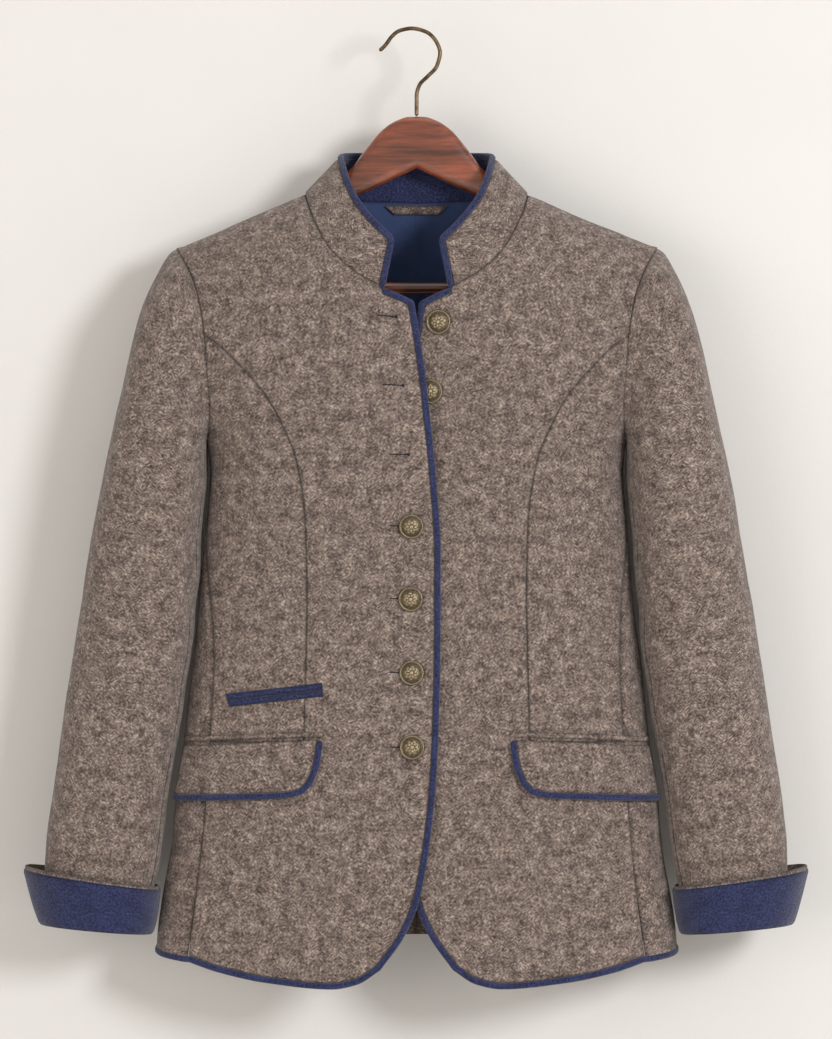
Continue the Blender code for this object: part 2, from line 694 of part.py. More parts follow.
def lifted_sheet(surface):
    def place(values):
        angle, level, lift = values
        normal = surface_normal(surface, angle, level)
        return surface(angle, level) + lift * normal + CENTRE, normal

    return place


def pocket(side, wool, felt):
    """The flap, its piping and the narrow strip above it."""
    name = half_name(side)
    surface = under_front_point if side > 0 else body_point
    piped = joined((FLAP_FRONT, FLAP_END_STEPS), (FLAP_FOOT, FLAP_FOOT_STEPS))
    cut = inset(piped, PIPING_WIDTH + GAP)
    foot = cut[FLAP_END_STEPS:][::-1]
    front = cut[: FLAP_END_STEPS + 1]
    top = resampled(FLAP_TOP[:-1] + (tuple(cut[0]),), FLAP_FOOT_STEPS)
    outer = resampled(FLAP_OUTER[:-1] + (tuple(foot[0]),), FLAP_END_STEPS)
    grid = coons(*[on_body(line, side) for line in (top, foot, outer, front)])
    grid = lifted(grid, FLAP_LIFT_TOP, FLAP_LIFT_FOOT)
    cloth_piece(f"flap_{name}", wool, (grid,), lifted_sheet(surface), WOOL, WOOL, 0)

    middle = inset(piped, PIPING_WIDTH / 2)
    drops = (middle[:, 1] - FLAP_TOP[-1][1]) / (FLAP_FOOT[-1][1] - FLAP_TOP[-1][1])
    points = []
    for (angle, level), drop in zip(on_body(middle, side), drops):
        lift = FLAP_LIFT_TOP + drop * (FLAP_LIFT_FOOT - FLAP_LIFT_TOP) + PIPING_WIDTH / 2
        points.append(surface(angle, level) + lift * surface_normal(surface, angle, level) + CENTRE)
    tube(f"flap_piping_{name}", points, PIPING_RADIUS, felt)

    strip_foot = resampled(FLAP_TOP, FLAP_FOOT_STEPS) + (0.0, JET_ABOVE_FLAP)
    strip_top = strip_foot + (0.0, JET_HEIGHT)
    outer = np.linspace(strip_top[0], strip_foot[0], 2)
    inner = np.linspace(strip_top[-1], strip_foot[-1], 2)
    strip = coons(*[on_body(line, side) for line in (strip_top, strip_foot, outer, inner)])
    outside = JET_THICKNESS + JET_LIFT
    cloth_piece(f"flap_jet_{name}", wool, (strip,), body_sheet(surface), outside, JET_THICKNESS, 0)


# The slanted ticket pocket on the right front side: its ends on the top, middle and bottom lines
WELT_LINES = (
    ((161.7, -566.0), (79.7, -556.4)),
    ((160.3, -571.7), (79.4, -562.2)),
    ((158.8, -577.3), (79.0, -568.0)),
)
WELT_STEPS = 8
WELT_ROWS = 2
WELT_SLIT = 0.5
WELT_THICKNESS = 2.0


def ticket_pocket(felt):
    side = -1
    top, middle, foot = (resampled(line, WELT_STEPS) for line in WELT_LINES)
    rows = {
        "pocket_welt_upper": (top, middle + (0.0, WELT_SLIT / 2)),
        "pocket_welt_lower": (middle - (0.0, WELT_SLIT / 2), foot),
    }
    for name, (above, below) in rows.items():
        outer = resampled((above[0], below[0]), WELT_ROWS)
        inner = resampled((above[-1], below[-1]), WELT_ROWS)
        grid = coons(*[on_body(line, side) for line in (above, below, outer, inner)])
        place = body_sheet(body_point)
        cloth_piece(name, felt, (grid,), place, WELT_THICKNESS + GAP, WELT_THICKNESS, 0)


# The hanger loop inside the back neck
LOOP_TOP = ((-27.5, -147.2), (27.0, -147.2))
LOOP_FOOT = ((-19.5, -154.6), (19.5, -154.6))
LOOP_STEPS = 10
LOOP_ROWS = 2
LOOP_THICKNESS = 1.6
LOOP_GAP = 0.8


def neck_loop(wool):
    def line(ends):
        places = [body_place(abs(x), z, behind=True) for x, z in resampled(ends, LOOP_STEPS)]
        across = np.linspace(-1, 1, LOOP_STEPS + 1)
        angles = [math.pi + (math.pi - place[0]) * (-1 if x > 0 else 1) for x, place in zip(across, places)]
        return np.array([(angle, place[1]) for angle, place in zip(angles, places)])

    top = line(LOOP_TOP)
    foot = line(LOOP_FOOT)
    first_end = np.linspace(top[0], foot[0], LOOP_ROWS + 1)
    last_end = np.linspace(top[-1], foot[-1], LOOP_ROWS + 1)
    grid = coons(top, foot, first_end, last_end)
    depth = WOOL + LINING_GAP + LINING + LOOP_GAP
    cloth_piece("neck_loop", wool, (grid,), body_sheet(body_point), -depth, LOOP_THICKNESS, 0)


# Buttons: distance from the centre line, positive to the wearer's left, height, and the front each sits on
BUTTONS = (
    (19.0, -251.0, 1), (11.5, -310.0, 1), (4.0, -367.0, 1),
    (-4.4, -424.0, -1), (-5.0, -485.5, -1), (-4.2, -548.0, -1), (-3.8, -611.0, -1),
)
# A button from its crown down the rim to its shank: radius and height
BUTTON_PROFILE = (
    (0.0, 5.3), (3.6, 5.1), (6.6, 4.2), (8.9, 2.6), (9.8, 3.1), (10.6, 2.9),
    (11.0, 2.1), (10.2, 1.1), (2.6, 0.9), (2.6, 0.0), (0.0, 0.0),
)
BUTTON_STEPS = 14
BUTTON_SEAT = 0.7


def turned_mesh(name, profile, steps, material):
    """A profile turned a full circle about Z."""
    bm = bmesh.new()
    verts = [bm.verts.new((radius * MM, 0.0, height * MM)) for radius, height in profile]
    for first, second in zip(verts, verts[1:]):
        bm.edges.new((first, second))
    bmesh.ops.spin(
        bm, geom=bm.verts[:] + bm.edges[:], cent=(0, 0, 0), axis=(0, 0, 1),
        angle=2 * math.pi, steps=steps, use_merge=True,
    )
    bmesh.ops.remove_doubles(bm, verts=bm.verts[:], dist=MERGE_DISTANCE * MM)
    bmesh.ops.recalc_face_normals(bm, faces=bm.faces[:])
    mesh = bpy.data.meshes.new(name)
    bm.to_mesh(mesh)
    bm.free()
    mesh.materials.append(material)
    mesh.shade_smooth()
    mesh.set_sharp_from_angle(angle=SHARP_ANGLE)
    return mesh


def buttons(metal):
    mesh = turned_mesh("button", BUTTON_PROFILE, BUTTON_STEPS, metal)
    for number, (x, z, side) in enumerate(BUTTONS, 1):
        surface = under_front_point if side > 0 else body_point
        angle, level = body_place(x, z)
        normal = surface_normal(surface, angle, level)
        obj = bpy.data.objects.new(f"button_{number}", mesh)
        obj.location = Vector(surface(angle, level) + BUTTON_SEAT * normal + CENTRE) * MM
        obj.rotation_euler = Vector(normal).to_track_quat("Z", "Y").to_euler()
        garment.objects.link(obj)


# The wooden hanger: distance from its middle, height of the middle line, half height and half depth
HANGER_CENTRE_X = JACKET_CENTRE_X
ARM_SECTIONS = (
    (0.15, -95.8, 22.2, 6.5),
    (10.0, -98.6, 24.2, 6.6),
    (20.0, -103.0, 24.5, 6.7),
    (30.0, -109.0, 23.3, 6.8),
    (45.0, -121.4, 17.8, 7.0),
    (57.0, -131.5, 12.6, 7.2),
    (80.0, -148.3, 10.2, 7.0),
    (95.0, -157.8, 10.2, 7.6),
    (112.0, -165.6, 10.5, 8.0),
    (138.0, -181.2, 14.0, 7.5),
    (160.0, -198.4, 18.5, 8.5),
    (170.0, -206.0, 24.5, 9.0),
    (181.0, -206.8, 23.0, 9.5),
    (187.5, -208.2, 16.6, 7.2),
    (190.5, -210.0, 8.0, 4.0),
)
ARM_SIDES = 14
ARM_POWER = 2.6
BAR_Z = -220.6
BAR_RADIUS = 5.0
BAR_HALF_LENGTH = 174.0
BAR_SIDES = 16
# The wire hook from its tip round the bend and down the shank, across and up from the mount
HOOK_WIRE_RADIUS = 1.7
HOOK_ROUTE = (
    (-27.7, -17.5), (-24.4, -14.6), (-20.9, -10.6), (-17.0, -5.2), (-10.2, -0.2), (0.0, 1.7),
    (11.6, -0.9), (20.4, -8.6), (24.2, -19.0), (21.5, -30.4), (13.4, -39.6), (6.8, -46.5), (4.2, -56.0),
    (4.2, -73.2),
)
HOOK_STEPS = 30
HOOK_ROUNDNESS = 2


def hanger_arm(side, wood, cutter):
    """One arm, as a row of rounded sections from the middle to its end."""
    bm = bmesh.new()
    ring = bmesh.ops.create_circle(bm, segments=ARM_SIDES, radius=1.0)["verts"]
    angles = [math.atan2(vert.co.y, vert.co.x) for vert in ring]
    edges = list({edge for vert in ring for edge in vert.link_edges})
    bmesh.ops.contextual_create(bm, geom=edges)
    for number, (away, middle_z, half_height, half_depth) in enumerate(ARM_SECTIONS):
        if number:
            made = bmesh.ops.extrude_edge_only(bm, edges=edges)["geom"]
            edges = [item for item in made if isinstance(item, bmesh.types.BMEdge)]
            partners = {}
            for vert in (item for item in made if isinstance(item, bmesh.types.BMVert)):
                source = next(
                    edge.other_vert(vert) for edge in vert.link_edges if edge.other_vert(vert) in ring
                )
                partners[source] = vert
            ring = [partners[vert] for vert in ring]
        for vert, angle in zip(ring, angles):
            up = math.copysign(abs(math.sin(angle)) ** (2 / ARM_POWER), math.sin(angle))
            ahead = math.copysign(abs(math.cos(angle)) ** (2 / ARM_POWER), math.cos(angle))
            x = HANGER_CENTRE_X + side * away
            vert.co = Vector((x, half_depth * ahead, middle_z + half_height * up)) * MM
    bmesh.ops.contextual_create(bm, geom=edges)
    bmesh.ops.recalc_face_normals(bm, faces=bm.faces[:])
    obj = new_object(f"hanger_arm_{half_name(side)}", bm, wood)
    socket = obj.modifiers.new("bar_socket", "BOOLEAN")
    socket.operation = "DIFFERENCE"
    socket.object = cutter
    return obj


def round_bar(name, radius, half_length, collection, material=None):
    bm = bmesh.new()
    bmesh.ops.create_cone(
        bm, cap_ends=True, segments=BAR_SIDES, radius1=radius * MM, radius2=radius * MM,
        depth=2 * half_length * MM,
    )
    mesh = bpy.data.meshes.new(name)
    bm.to_mesh(mesh)
    bm.free()
    obj = bpy.data.objects.new(name, mesh)
    obj.rotation_euler = (0.0, math.pi / 2, 0.0)
    obj.location = (HANGER_CENTRE_X * MM, 0.0, BAR_Z * MM)
    collection.objects.link(obj)
    if material:
        mesh.materials.append(material)
        mesh.shade_smooth()
        mesh.set_sharp_from_angle(angle=SHARP_ANGLE)
    return obj


def hanger(wood, bronze):
    cutter = round_bar("bar_cutter", BAR_RADIUS + GAP, BAR_HALF_LENGTH + GAP, cutters)
    cutter.hide_render = True
    cutter.display_type = "WIRE"
    for side in (-1, 1):
        hanger_arm(side, wood, cutter)
    round_bar("hanger_bar", BAR_RADIUS, BAR_HALF_LENGTH, garment, wood)
    route = [(x, 0.0, z) for x, z in resampled(HOOK_ROUTE, HOOK_STEPS)]
    tube("hanger_hook", route, HOOK_WIRE_RADIUS, bronze, HOOK_ROUNDNESS)


def clear_scene():
    for obj in list(bpy.data.objects):
        bpy.data.objects.remove(obj, do_unlink=True)


def new_collection(name):
    collection = bpy.data.collections.new(name)
    bpy.context.scene.collection.children.link(collection)
    return collection


clear_scene()
garment = new_collection("jacket_on_hanger")
cutters = new_collection("cutters")
CENTRE = np.array([JACKET_CENTRE_X, 0.0, 0.0])
ARMHOLES = armhole_loops()
NECK_RING = neck_ring()

wool_paint = paint("grey_brown_wool", (0.2, 0.155, 0.12), 0.95)
felt_paint = paint("blue_felt", (0.032, 0.045, 0.16), 0.9)
lining_paint = paint("blue_lining", (0.025, 0.045, 0.13), 0.6)
metal_paint = paint("aged_brass", (0.2, 0.15, 0.08), 0.4, 0.9)
wood_paint = paint("mahogany", (0.15, 0.03, 0.015), 0.3)
bronze_paint = paint("bronze_wire", (0.12, 0.08, 0.045), 0.35, 0.9)

for half in (-1, 1):
    front_panels(half, wool_paint)
    back_panel(half, wool_paint)
    back_lining(half, lining_paint)
    sleeve(half, wool_paint)
    cuff(half, wool_paint, felt_paint)
    pocket(half, wool_paint, felt_paint)
    front_piping(half, felt_paint)
collar(wool_paint, felt_paint)
collar_piping(felt_paint)
ticket_pocket(felt_paint)
neck_loop(wool_paint)
buttons(metal_paint)
hanger(wood_paint, bronze_paint)
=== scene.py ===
"""Dresses the jacket on its hanger: milled wool, felt trims, aged buttons, varnished wood and bronze wire.

Laid out as a Blender add-on and run as a script. The tables are in millimetres in the part's own frame, with
+Z up, the jacket's front facing -Y and the origin inside the top of the hook's bend. A side of -1 is the
wearer's right, which lies at -X.
"""

import math

import bmesh
import bpy
import numpy as np
from bpy.props import FloatProperty, FloatVectorProperty, PointerProperty
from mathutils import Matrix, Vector, kdtree, noise


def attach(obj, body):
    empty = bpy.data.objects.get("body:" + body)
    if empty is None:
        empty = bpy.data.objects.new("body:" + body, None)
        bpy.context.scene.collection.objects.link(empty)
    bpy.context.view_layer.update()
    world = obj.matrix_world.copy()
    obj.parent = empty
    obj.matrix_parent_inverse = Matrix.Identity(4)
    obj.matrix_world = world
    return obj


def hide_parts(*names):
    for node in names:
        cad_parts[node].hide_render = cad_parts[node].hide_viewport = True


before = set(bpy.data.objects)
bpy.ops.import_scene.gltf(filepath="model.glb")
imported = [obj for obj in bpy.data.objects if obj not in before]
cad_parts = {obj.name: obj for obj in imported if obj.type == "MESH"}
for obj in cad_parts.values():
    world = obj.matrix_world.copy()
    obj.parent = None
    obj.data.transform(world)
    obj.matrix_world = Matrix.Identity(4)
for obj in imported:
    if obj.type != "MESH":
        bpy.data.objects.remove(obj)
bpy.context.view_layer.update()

bl_info = {
    "name": "Milled-wool jacket on a hanger",
    "version": (1, 0, 0),
    "blender": (4, 5, 0),
    "location": "3D View > Sidebar > Jacket",
    "description": "Makes the cloth, trims, buttons and hanger of a traditional jacket",
    "category": "Object",
}

MM = 0.001

# Cloth walls
WOOL = 2.2
FELT = 1.4
LINING = 0.8
LINING_GAP = 1.2
GAP = 0.3
CUT_GAP = 0.1
WELD = 0.02
FINE_WELD = 0.005
SHARP_ANGLE = math.radians(52)
SMALLEST_FLAT = 0.01
LEAST_AREA_SHARE = 0.3

# The jacket as a whole
JACKET_CENTRE = np.array([4.2, 0.0, 0.0])
SECTION_POWER = 2.4
CHEST_Z = -300.0
YOKE_RISE = 200.0
SHOULDER_APEX_Z = -96.4
SHOULDER_SLOPE = 0.433
SHOULDER_ROUND = 30.0
UNDERARM_Z = -352.0
POCKET_LINE_Z = -607.0
PIPING_WIDTH = 4.5
PIPING_PROUD = 1.5

# Slow swells of the cloth: the size of the large and the small ones, where the small ones are read
# and how strong they are beside the large ones
LARGE_SWELL = 85.0
SMALL_SWELL = 31.0
SMALL_SWELL_PLACE = Vector((7.1, 3.3, 5.7))
SMALL_SWELL_SHARE = 0.35

# Waves of the skirt: where they start, how far down they reach full depth, their depth, the distance
# from the centre line of the first one and their length, and where they fade out towards the front edge
FLARE_TOP_Z = -600.0
FLARE_REACH = 190.0
FLARE_DEPTH = 1.6
WAVE_FIRST_X = 62.0
WAVE_LENGTH = 25.0
WAVE_CLEAR_X = 28.0
WAVE_FADE = 40.0

# Body sections: height, half width, depth to the front and depth to the back
BODY_SECTIONS = (
    (-830.0, 226.0, 62.0, 46.0),
    (-790.0, 222.0, 62.0, 46.0),
    (-767.0, 220.0, 62.0, 46.0),
    (-697.0, 209.5, 62.0, 46.0),
    (-640.0, 205.0, 61.0, 45.0),
    (-610.0, 200.0, 60.0, 44.0),
    (-572.0, 195.5, 58.0, 42.0),
    (-515.0, 188.5, 57.0, 39.0),
    (-470.0, 184.0, 59.0, 39.0),
    (-423.0, 180.5, 64.0, 41.0),
    (-378.0, 176.5, 69.0, 43.0),
    (-352.0, 180.0, 71.0, 44.0),
    (-325.0, 196.0, 72.0, 44.0),
    (-300.0, 208.0, 72.0, 44.0),
    (-200.0, 214.0, 72.0, 44.0),
    (-100.0, 216.0, 72.0, 44.0),
)

# Edges and seams of one half, as distance from the centre line and height
SHOULDER_SEAM = ((205.7, -186.0), (150.0, -162.6), (96.0, -139.5))
NECK_SEAM_FRONT = ((96.0, -139.5), (90.0, -157.5), (74.5, -187.0), (53.0, -208.0), (27.0, -223.0))
NECK_FREE_EDGE = ((27.0, -223.0), (14.0, -228.5), (2.5, -234.0))
NECK_SEAM_BACK = ((96.0, -139.5), (80.0, -140.5), (50.0, -143.0), (0.0, -145.0))
ARMHOLE_UPPER_FRONT = ((205.7, -186.0), (193.0, -208.0), (184.0, -236.0), (180.0, -262.0))
ARMHOLE_LOWER_FRONT = (
    (180.0, -262.0), (177.3, -300.0), (176.0, -325.0), (177.0, -342.0), (180.0, UNDERARM_Z),
)
ARMHOLE_BACK = (
    (205.7, -186.0), (197.0, -208.0), (191.0, -236.0), (188.0, -263.0),
    (184.5, -306.0), (180.0, -335.0), (180.0, UNDERARM_Z),
)
PRINCESS_SEAM = (
    (180.0, -262.0), (164.0, -274.0), (148.0, -290.0), (129.0, -312.0), (116.0, -334.0),
    (101.0, -372.0), (94.5, -419.0), (93.0, -487.0), (94.0, -540.0), (95.5, POCKET_LINE_Z),
)
SIDE_SEAM_UPPER = (
    (180.0, UNDERARM_Z), (176.2, -378.0), (180.0, -436.0), (175.5, -488.0), (173.4, -538.0),
    (176.0, POCKET_LINE_Z),
)
SIDE_SEAM_LOWER = ((176.0, POCKET_LINE_Z), (180.0, -660.0), (185.7, -720.0), (195.0, -793.0))
FRONT_EDGE_UPPER = (
    (2.5, -234.0), (-3.8, -273.0), (-7.7, -302.0), (-11.6, -337.0), (-16.2, -385.0),
    (-20.0, -446.0), (-20.0, -500.0), (-19.6, -547.0), (-18.0, POCKET_LINE_Z),
)
FRONT_EDGE_LOWER = (
    (-18.0, POCKET_LINE_Z), (-16.2, -638.0), (-11.9, -682.0), (-2.2, -739.0), (10.5, -770.0), (31.0, -799.0),
)
FRONT_HEM = (
    (31.0, -799.0), (50.5, -811.0), (72.0, -815.0), (128.5, -810.0), (167.5, -802.0), (195.0, -793.0),
)

# The back hem by degrees round from centre front
BACK_HEM = ((50.0, -793.5), (60.0, -793.0), (90.0, -787.0), (120.0, -781.0), (150.0, -777.5), (180.0, -776.0))

# How far the under front is pushed in where the other one overlaps it and hides two buttons:
# height, depth, the distance from the centre line where it starts to fade and the one where it ends
OVERLAP_RECESS = (
    (-830.0, 2.5, 30.0, 90.0),
    (-790.0, 5.4, 26.0, 90.0),
    (-430.0, 5.4, 26.0, 90.0),
    (-395.0, 8.5, 26.0, 90.0),
    (-367.0, 11.0, 26.0, 90.0),
    (-310.0, 11.0, 26.0, 90.0),
    (-265.0, 6.8, 12.0, 66.0),
    (-228.0, 5.4, -2.0, 25.0),
)


def smooth_table(table, where):
    """The table's columns at values of its first one, as smooth curves that never swing past the rows."""
    knots, *columns = np.array(table, float).T
    where = np.clip(np.asarray(where, float), knots[0], knots[-1])
    index = np.clip(np.searchsorted(knots, where) - 1, 0, len(knots) - 2)
    steps = np.diff(knots)
    part = (where - knots[index]) / steps[index]
    found = []
    for values in columns:
        slopes = np.diff(values) / steps
        same_way = slopes[:-1] * slopes[1:] > 0
        total = np.where(same_way, slopes[:-1] + slopes[1:], 1.0)
        inner = np.where(same_way, 2 * slopes[:-1] * slopes[1:] / total, 0.0)
        tangents = np.concatenate([slopes[:1], inner, slopes[-1:]])
        ends = values[index] * (1 + 2 * part) * (1 - part) ** 2 + values[index + 1] * part**2 * (3 - 2 * part)
        leaning = tangents[index] * part * (1 - part) ** 2 - tangents[index + 1] * part**2 * (1 - part)
        found.append(ends + steps[index] * leaning)
    return found


def smooth_step(value):
    part = np.clip(value, 0.0, 1.0)
    return part * part * (3 - 2 * part)


def bell(value, middle, reach):
    """A smooth bump of height 1 at the middle, which fades with the distance over the reach."""
    return np.exp(-(((value - middle) / reach) ** 2))


def rounded(value, power):
    """A sine or cosine drawn out, so that sections made with it are fuller than an ellipse."""
    return np.sign(value) * np.abs(value) ** (2 / power)


def unit(vectors):
    return vectors / np.linalg.norm(vectors, axis=-1, keepdims=True)


def lengths_along(points):
    """The length along a line of points at each of them."""
    return np.concatenate([[0.0], np.cumsum(np.linalg.norm(np.diff(points, axis=0), axis=1))])


def point_tree(spots):
    """A search tree over places in metres."""
    tree = kdtree.KDTree(len(spots))
    for number, spot in enumerate(spots):
        tree.insert(spot, number)
    tree.balance()
    return tree


def eased(count, pull):
    """Shares from 0 to 1 in `count` steps, closer together at both ends."""
    share = np.linspace(0.0, 1.0, count + 1)
    return share - pull * np.sin(2 * np.pi * share) / (2 * np.pi)


def resampled(points, count, pull=0.0):
    """Points along a smooth curve through the given ones, in `count` steps."""
    points = np.array(points, float)
    lengths = lengths_along(points)
    rows = np.column_stack([lengths, points])
    return np.stack(smooth_table(rows, eased(count, pull) * lengths[-1]), axis=1)


def joined(*stretches, pull=0.0):
    """One edge from stretches of (points, steps), with a corner kept where two stretches meet."""
    edge = [resampled(points, count, pull) for points, count in stretches]
    return np.concatenate([edge[0]] + [stretch[1:] for stretch in edge[1:]])


def inset(points, distance):
    """A flat line moved sideways, to its left hand as it runs, with its corners kept sharp."""
    points = np.array(points, float)
    along = unit(np.diff(points, axis=0))
    aside = np.stack([-along[:, 1], along[:, 0]], axis=1)
    before = np.concatenate([aside[:1], aside])
    after = np.concatenate([aside, aside[-1:]])
    spread = 1 + np.sum(before * after, axis=1)
    return points + distance * (before + after) / spread[:, None]


def coons(top, bottom, left, right):
    """A grid of values filled in between four edges, from top to bottom and from left to right."""
    over = np.linspace(0.0, 1.0, len(top))[None, :, None]
    down = np.linspace(0.0, 1.0, len(left))[:, None, None]
    corners = (1 - down) * ((1 - over) * top[0] + over * top[-1]) + down * (
        (1 - over) * bottom[0] + over * bottom[-1]
    )
    sides = (1 - over) * left[:, None] + over * right[:, None]
    return (1 - down) * top[None] + down * bottom[None] + sides - corners


def even_grid(first_range, second_range, columns, rows, pull=0.0):
    firsts = first_range[0] + (first_range[1] - first_range[0]) * eased(columns, pull)
    seconds = second_range[0] + (second_range[1] - second_range[0]) * eased(rows, pull)
    return np.stack(np.meshgrid(firsts, seconds), axis=-1)


# Surfaces of the body


def body_point(angle, level):
    """Points of the body surface. The angle is 0 at centre front, and level is the height up to the chest."""
    half_width, front, back = smooth_table(BODY_SECTIONS, level)
    across, ahead = np.sin(angle), np.cos(angle)
    power = 2 / SECTION_POWER
    x = np.sign(across) * half_width * np.abs(across) ** power
    y = -np.sign(ahead) * np.where(ahead > 0, front, back) * np.abs(ahead) ** power
    turn = np.clip((level - CHEST_Z) / YOKE_RISE, 0.0, None) * np.pi / 2
    shoulder = SHOULDER_APEX_Z - SHOULDER_SLOPE * np.hypot(x, SHOULDER_ROUND)
    z = np.where(level > CHEST_Z, CHEST_Z + (shoulder - CHEST_Z) * np.sin(turn), level)
    return np.stack([x, y * np.cos(turn), z], axis=-1)


def body_places(points, behind=False):
    """The angles and levels of the body points that show at distances from the centre line and heights."""
    x, z = np.array(points, float).T
    shoulder = SHOULDER_APEX_Z - SHOULDER_SLOPE * np.hypot(x, SHOULDER_ROUND)
    rise = np.clip((z - CHEST_Z) / (shoulder - CHEST_Z), 0.0, 1.0)
    level = np.where(z > CHEST_Z, CHEST_Z + YOKE_RISE * np.arcsin(rise) / (np.pi / 2), z)
    half_width = smooth_table(BODY_SECTIONS, level)[0]
    angle = np.arcsin(np.clip(np.abs(x) / half_width, 0.0, 1.0) ** (SECTION_POWER / 2))
    if behind:
        angle = np.pi - angle
    return np.stack([np.where(x < 0, -angle, angle), level], axis=1)


def on_body(points, side, behind=False):
    return body_places(points, behind) * np.array([side, 1.0])


def normals_of(surface, first, second, first_step, second_step, turned=1.0):
    """The outward directions of a surface, from its own slopes."""
    across = surface(first + first_step, second) - surface(first - first_step, second)
    up = surface(first, second + second_step) - surface(first, second - second_step)
    return unit(np.cross(across, up) * turned)


def body_normals(surface, angle, level):
    return normals_of(surface, angle, level, 0.002, 0.2)


def under_front_point(angle, level):
    """The body surface under the wearer's right front, pushed in where that one overlaps."""
    point = body_point(angle, level)
    depth, fades, ends = smooth_table(OVERLAP_RECESS, point[..., 2])
    recess = depth * smooth_step((ends - point[..., 0]) / (ends - fades))
    return point - recess[..., None] * body_normals(body_point, angle, level)


def soft_relief(points):
    """How far the cloth stands off its plain surface: the slow swells of thick cloth that hangs."""
    swell = bpy.context.scene.jacket_sizes.swell / MM
    large = np.array([noise.noise(Vector(p) / LARGE_SWELL) for p in points])
    small = np.array([noise.noise(Vector(p) / SMALL_SWELL + SMALL_SWELL_PLACE) for p in points])
    return swell * (large + SMALL_SWELL_SHARE * small)


def body_folds(x, z):
    """Folds of the body by place: the waves in the skirt's flare."""
    flare = smooth_step((FLARE_TOP_Z - z) / FLARE_REACH)
    away = np.abs(x)
    waves = np.cos((away - WAVE_FIRST_X) / WAVE_LENGTH) * smooth_step((away - WAVE_CLEAR_X) / WAVE_FADE)
    return FLARE_DEPTH * flare * waves


def body_placer(surface):
    """A placer for angle, level and, where given, lift off the surface."""

    def place(values):
        angle, level = values[:, 0], values[:, 1]
        normals = body_normals(surface, angle, level)
        points = surface(angle, level)
        lift = soft_relief(points) + body_folds(points[:, 0], points[:, 2])
        if values.shape[1] > 2:
            lift = lift + values[:, 2]
        return points + lift[:, None] * normals + JACKET_CENTRE, normals

    return place


def front_surface(side):
    return under_front_point if side > 0 else body_point


def unrolled(surface, first_range, second_range, first_steps=96, second_steps=96):
    """The flat place of a surface's points, as lengths along it, for the cloth's grain."""
    firsts = np.linspace(*first_range, first_steps + 1)
    seconds = np.linspace(*second_range, second_steps + 1)
    points = surface(*np.meshgrid(firsts, seconds, indexing="ij"))
    across = np.zeros(points.shape[:2])
    across[1:] = np.cumsum(np.linalg.norm(np.diff(points, axis=0), axis=2), axis=0)
    along = np.zeros(points.shape[:2])
    along[:, 1:] = np.cumsum(np.linalg.norm(np.diff(points, axis=1), axis=2), axis=1)
    middle = first_steps // 2
    across = across - across[middle]
    both = np.stack([across, along], axis=-1)

    def flat(values):
        i = np.clip((values[:, 0] - firsts[0]) / (firsts[1] - firsts[0]), 0, first_steps - 1e-6)
        j = np.clip((values[:, 1] - seconds[0]) / (seconds[1] - seconds[0]), 0, second_steps - 1e-6)
        a, b = i.astype(int), j.astype(int)
        s, t = (i - a)[:, None], (j - b)[:, None]
        low = (1 - s) * both[a, b] + s * both[a + 1, b]
        high = (1 - s) * both[a, b + 1] + s * both[a + 1, b + 1]
        return ((1 - t) * low + t * high) * MM

    return flat


BODY_FLAT = unrolled(body_point, (-math.pi, math.pi), (BODY_SECTIONS[0][0], BODY_SECTIONS[-1][0]))


def half_name(side):
    return "right" if side < 0 else "left"


# The seams that the collar and the sleeves share with the body

RING_STEPS = 60
ARMHOLE_UPPER_STEPS = 40
ARMHOLE_LOWER_STEPS = 50
# Near an armhole the cloth creases less: how far from it, and by what share at it
SOFT_SEAM_REACH = 9.0
SOFT_SEAM_SHARE = 0.75
# How far in from its rim a piece of cloth is darker: painted shade, standing for the shadow in the crease
# where it curls into a seam
PAINTED_SEAM_SHADE_REACH = 2.0


def ring_and_normals(places):
    places = np.asarray(places)
    return body_point(places[:, 0], places[:, 1]), body_normals(body_point, places[:, 0], places[:, 1])


def neck_ring():
    """The neck seam from centre back to the front of one half, and the body's directions there."""
    behind = body_places(resampled(NECK_SEAM_BACK[::-1], RING_STEPS), behind=True)
    ahead = body_places(resampled(NECK_SEAM_FRONT, RING_STEPS)[1:])
    return ring_and_normals(np.concatenate([behind, ahead]))


def armhole_loops():
    """The armhole from the shoulder down the front and down the back, and the body's directions there."""
    ahead = joined((ARMHOLE_UPPER_FRONT, ARMHOLE_UPPER_STEPS), (ARMHOLE_LOWER_FRONT, ARMHOLE_LOWER_STEPS))
    behind = resampled(ARMHOLE_BACK, ARMHOLE_UPPER_STEPS + ARMHOLE_LOWER_STEPS)
    return ring_and_normals(body_places(ahead)), ring_and_normals(body_places(behind, behind=True))


NECK_RING, NECK_NORMALS = neck_ring()
ARMHOLES = armhole_loops()


def armhole_tree():
    """Both armholes' points, for the cloth to crease less where a sleeve joins it."""
    loops = np.concatenate([points for points, _ in ARMHOLES])
    return point_tree(np.concatenate([loops + JACKET_CENTRE, loops * (-1.0, 1.0, 1.0) + JACKET_CENTRE]) * MM)


ARMHOLE_TREE = armhole_tree()


def along_points(points, share):
    """Places at shares of the way along a row of points, straight between each two."""
    place = np.clip(share, 0.0, 1.0) * (len(points) - 1)
    start = np.clip(place.astype(int), 0, len(points) - 2)
    return points[start] + (place - start)[..., None] * (points[start + 1] - points[start])


# Building

# How closely a rim is marked to measure from it
RIM_STEP = 0.5
# The least of a bar's section that is left at a round end
ROUND_END_LEAST = 0.02


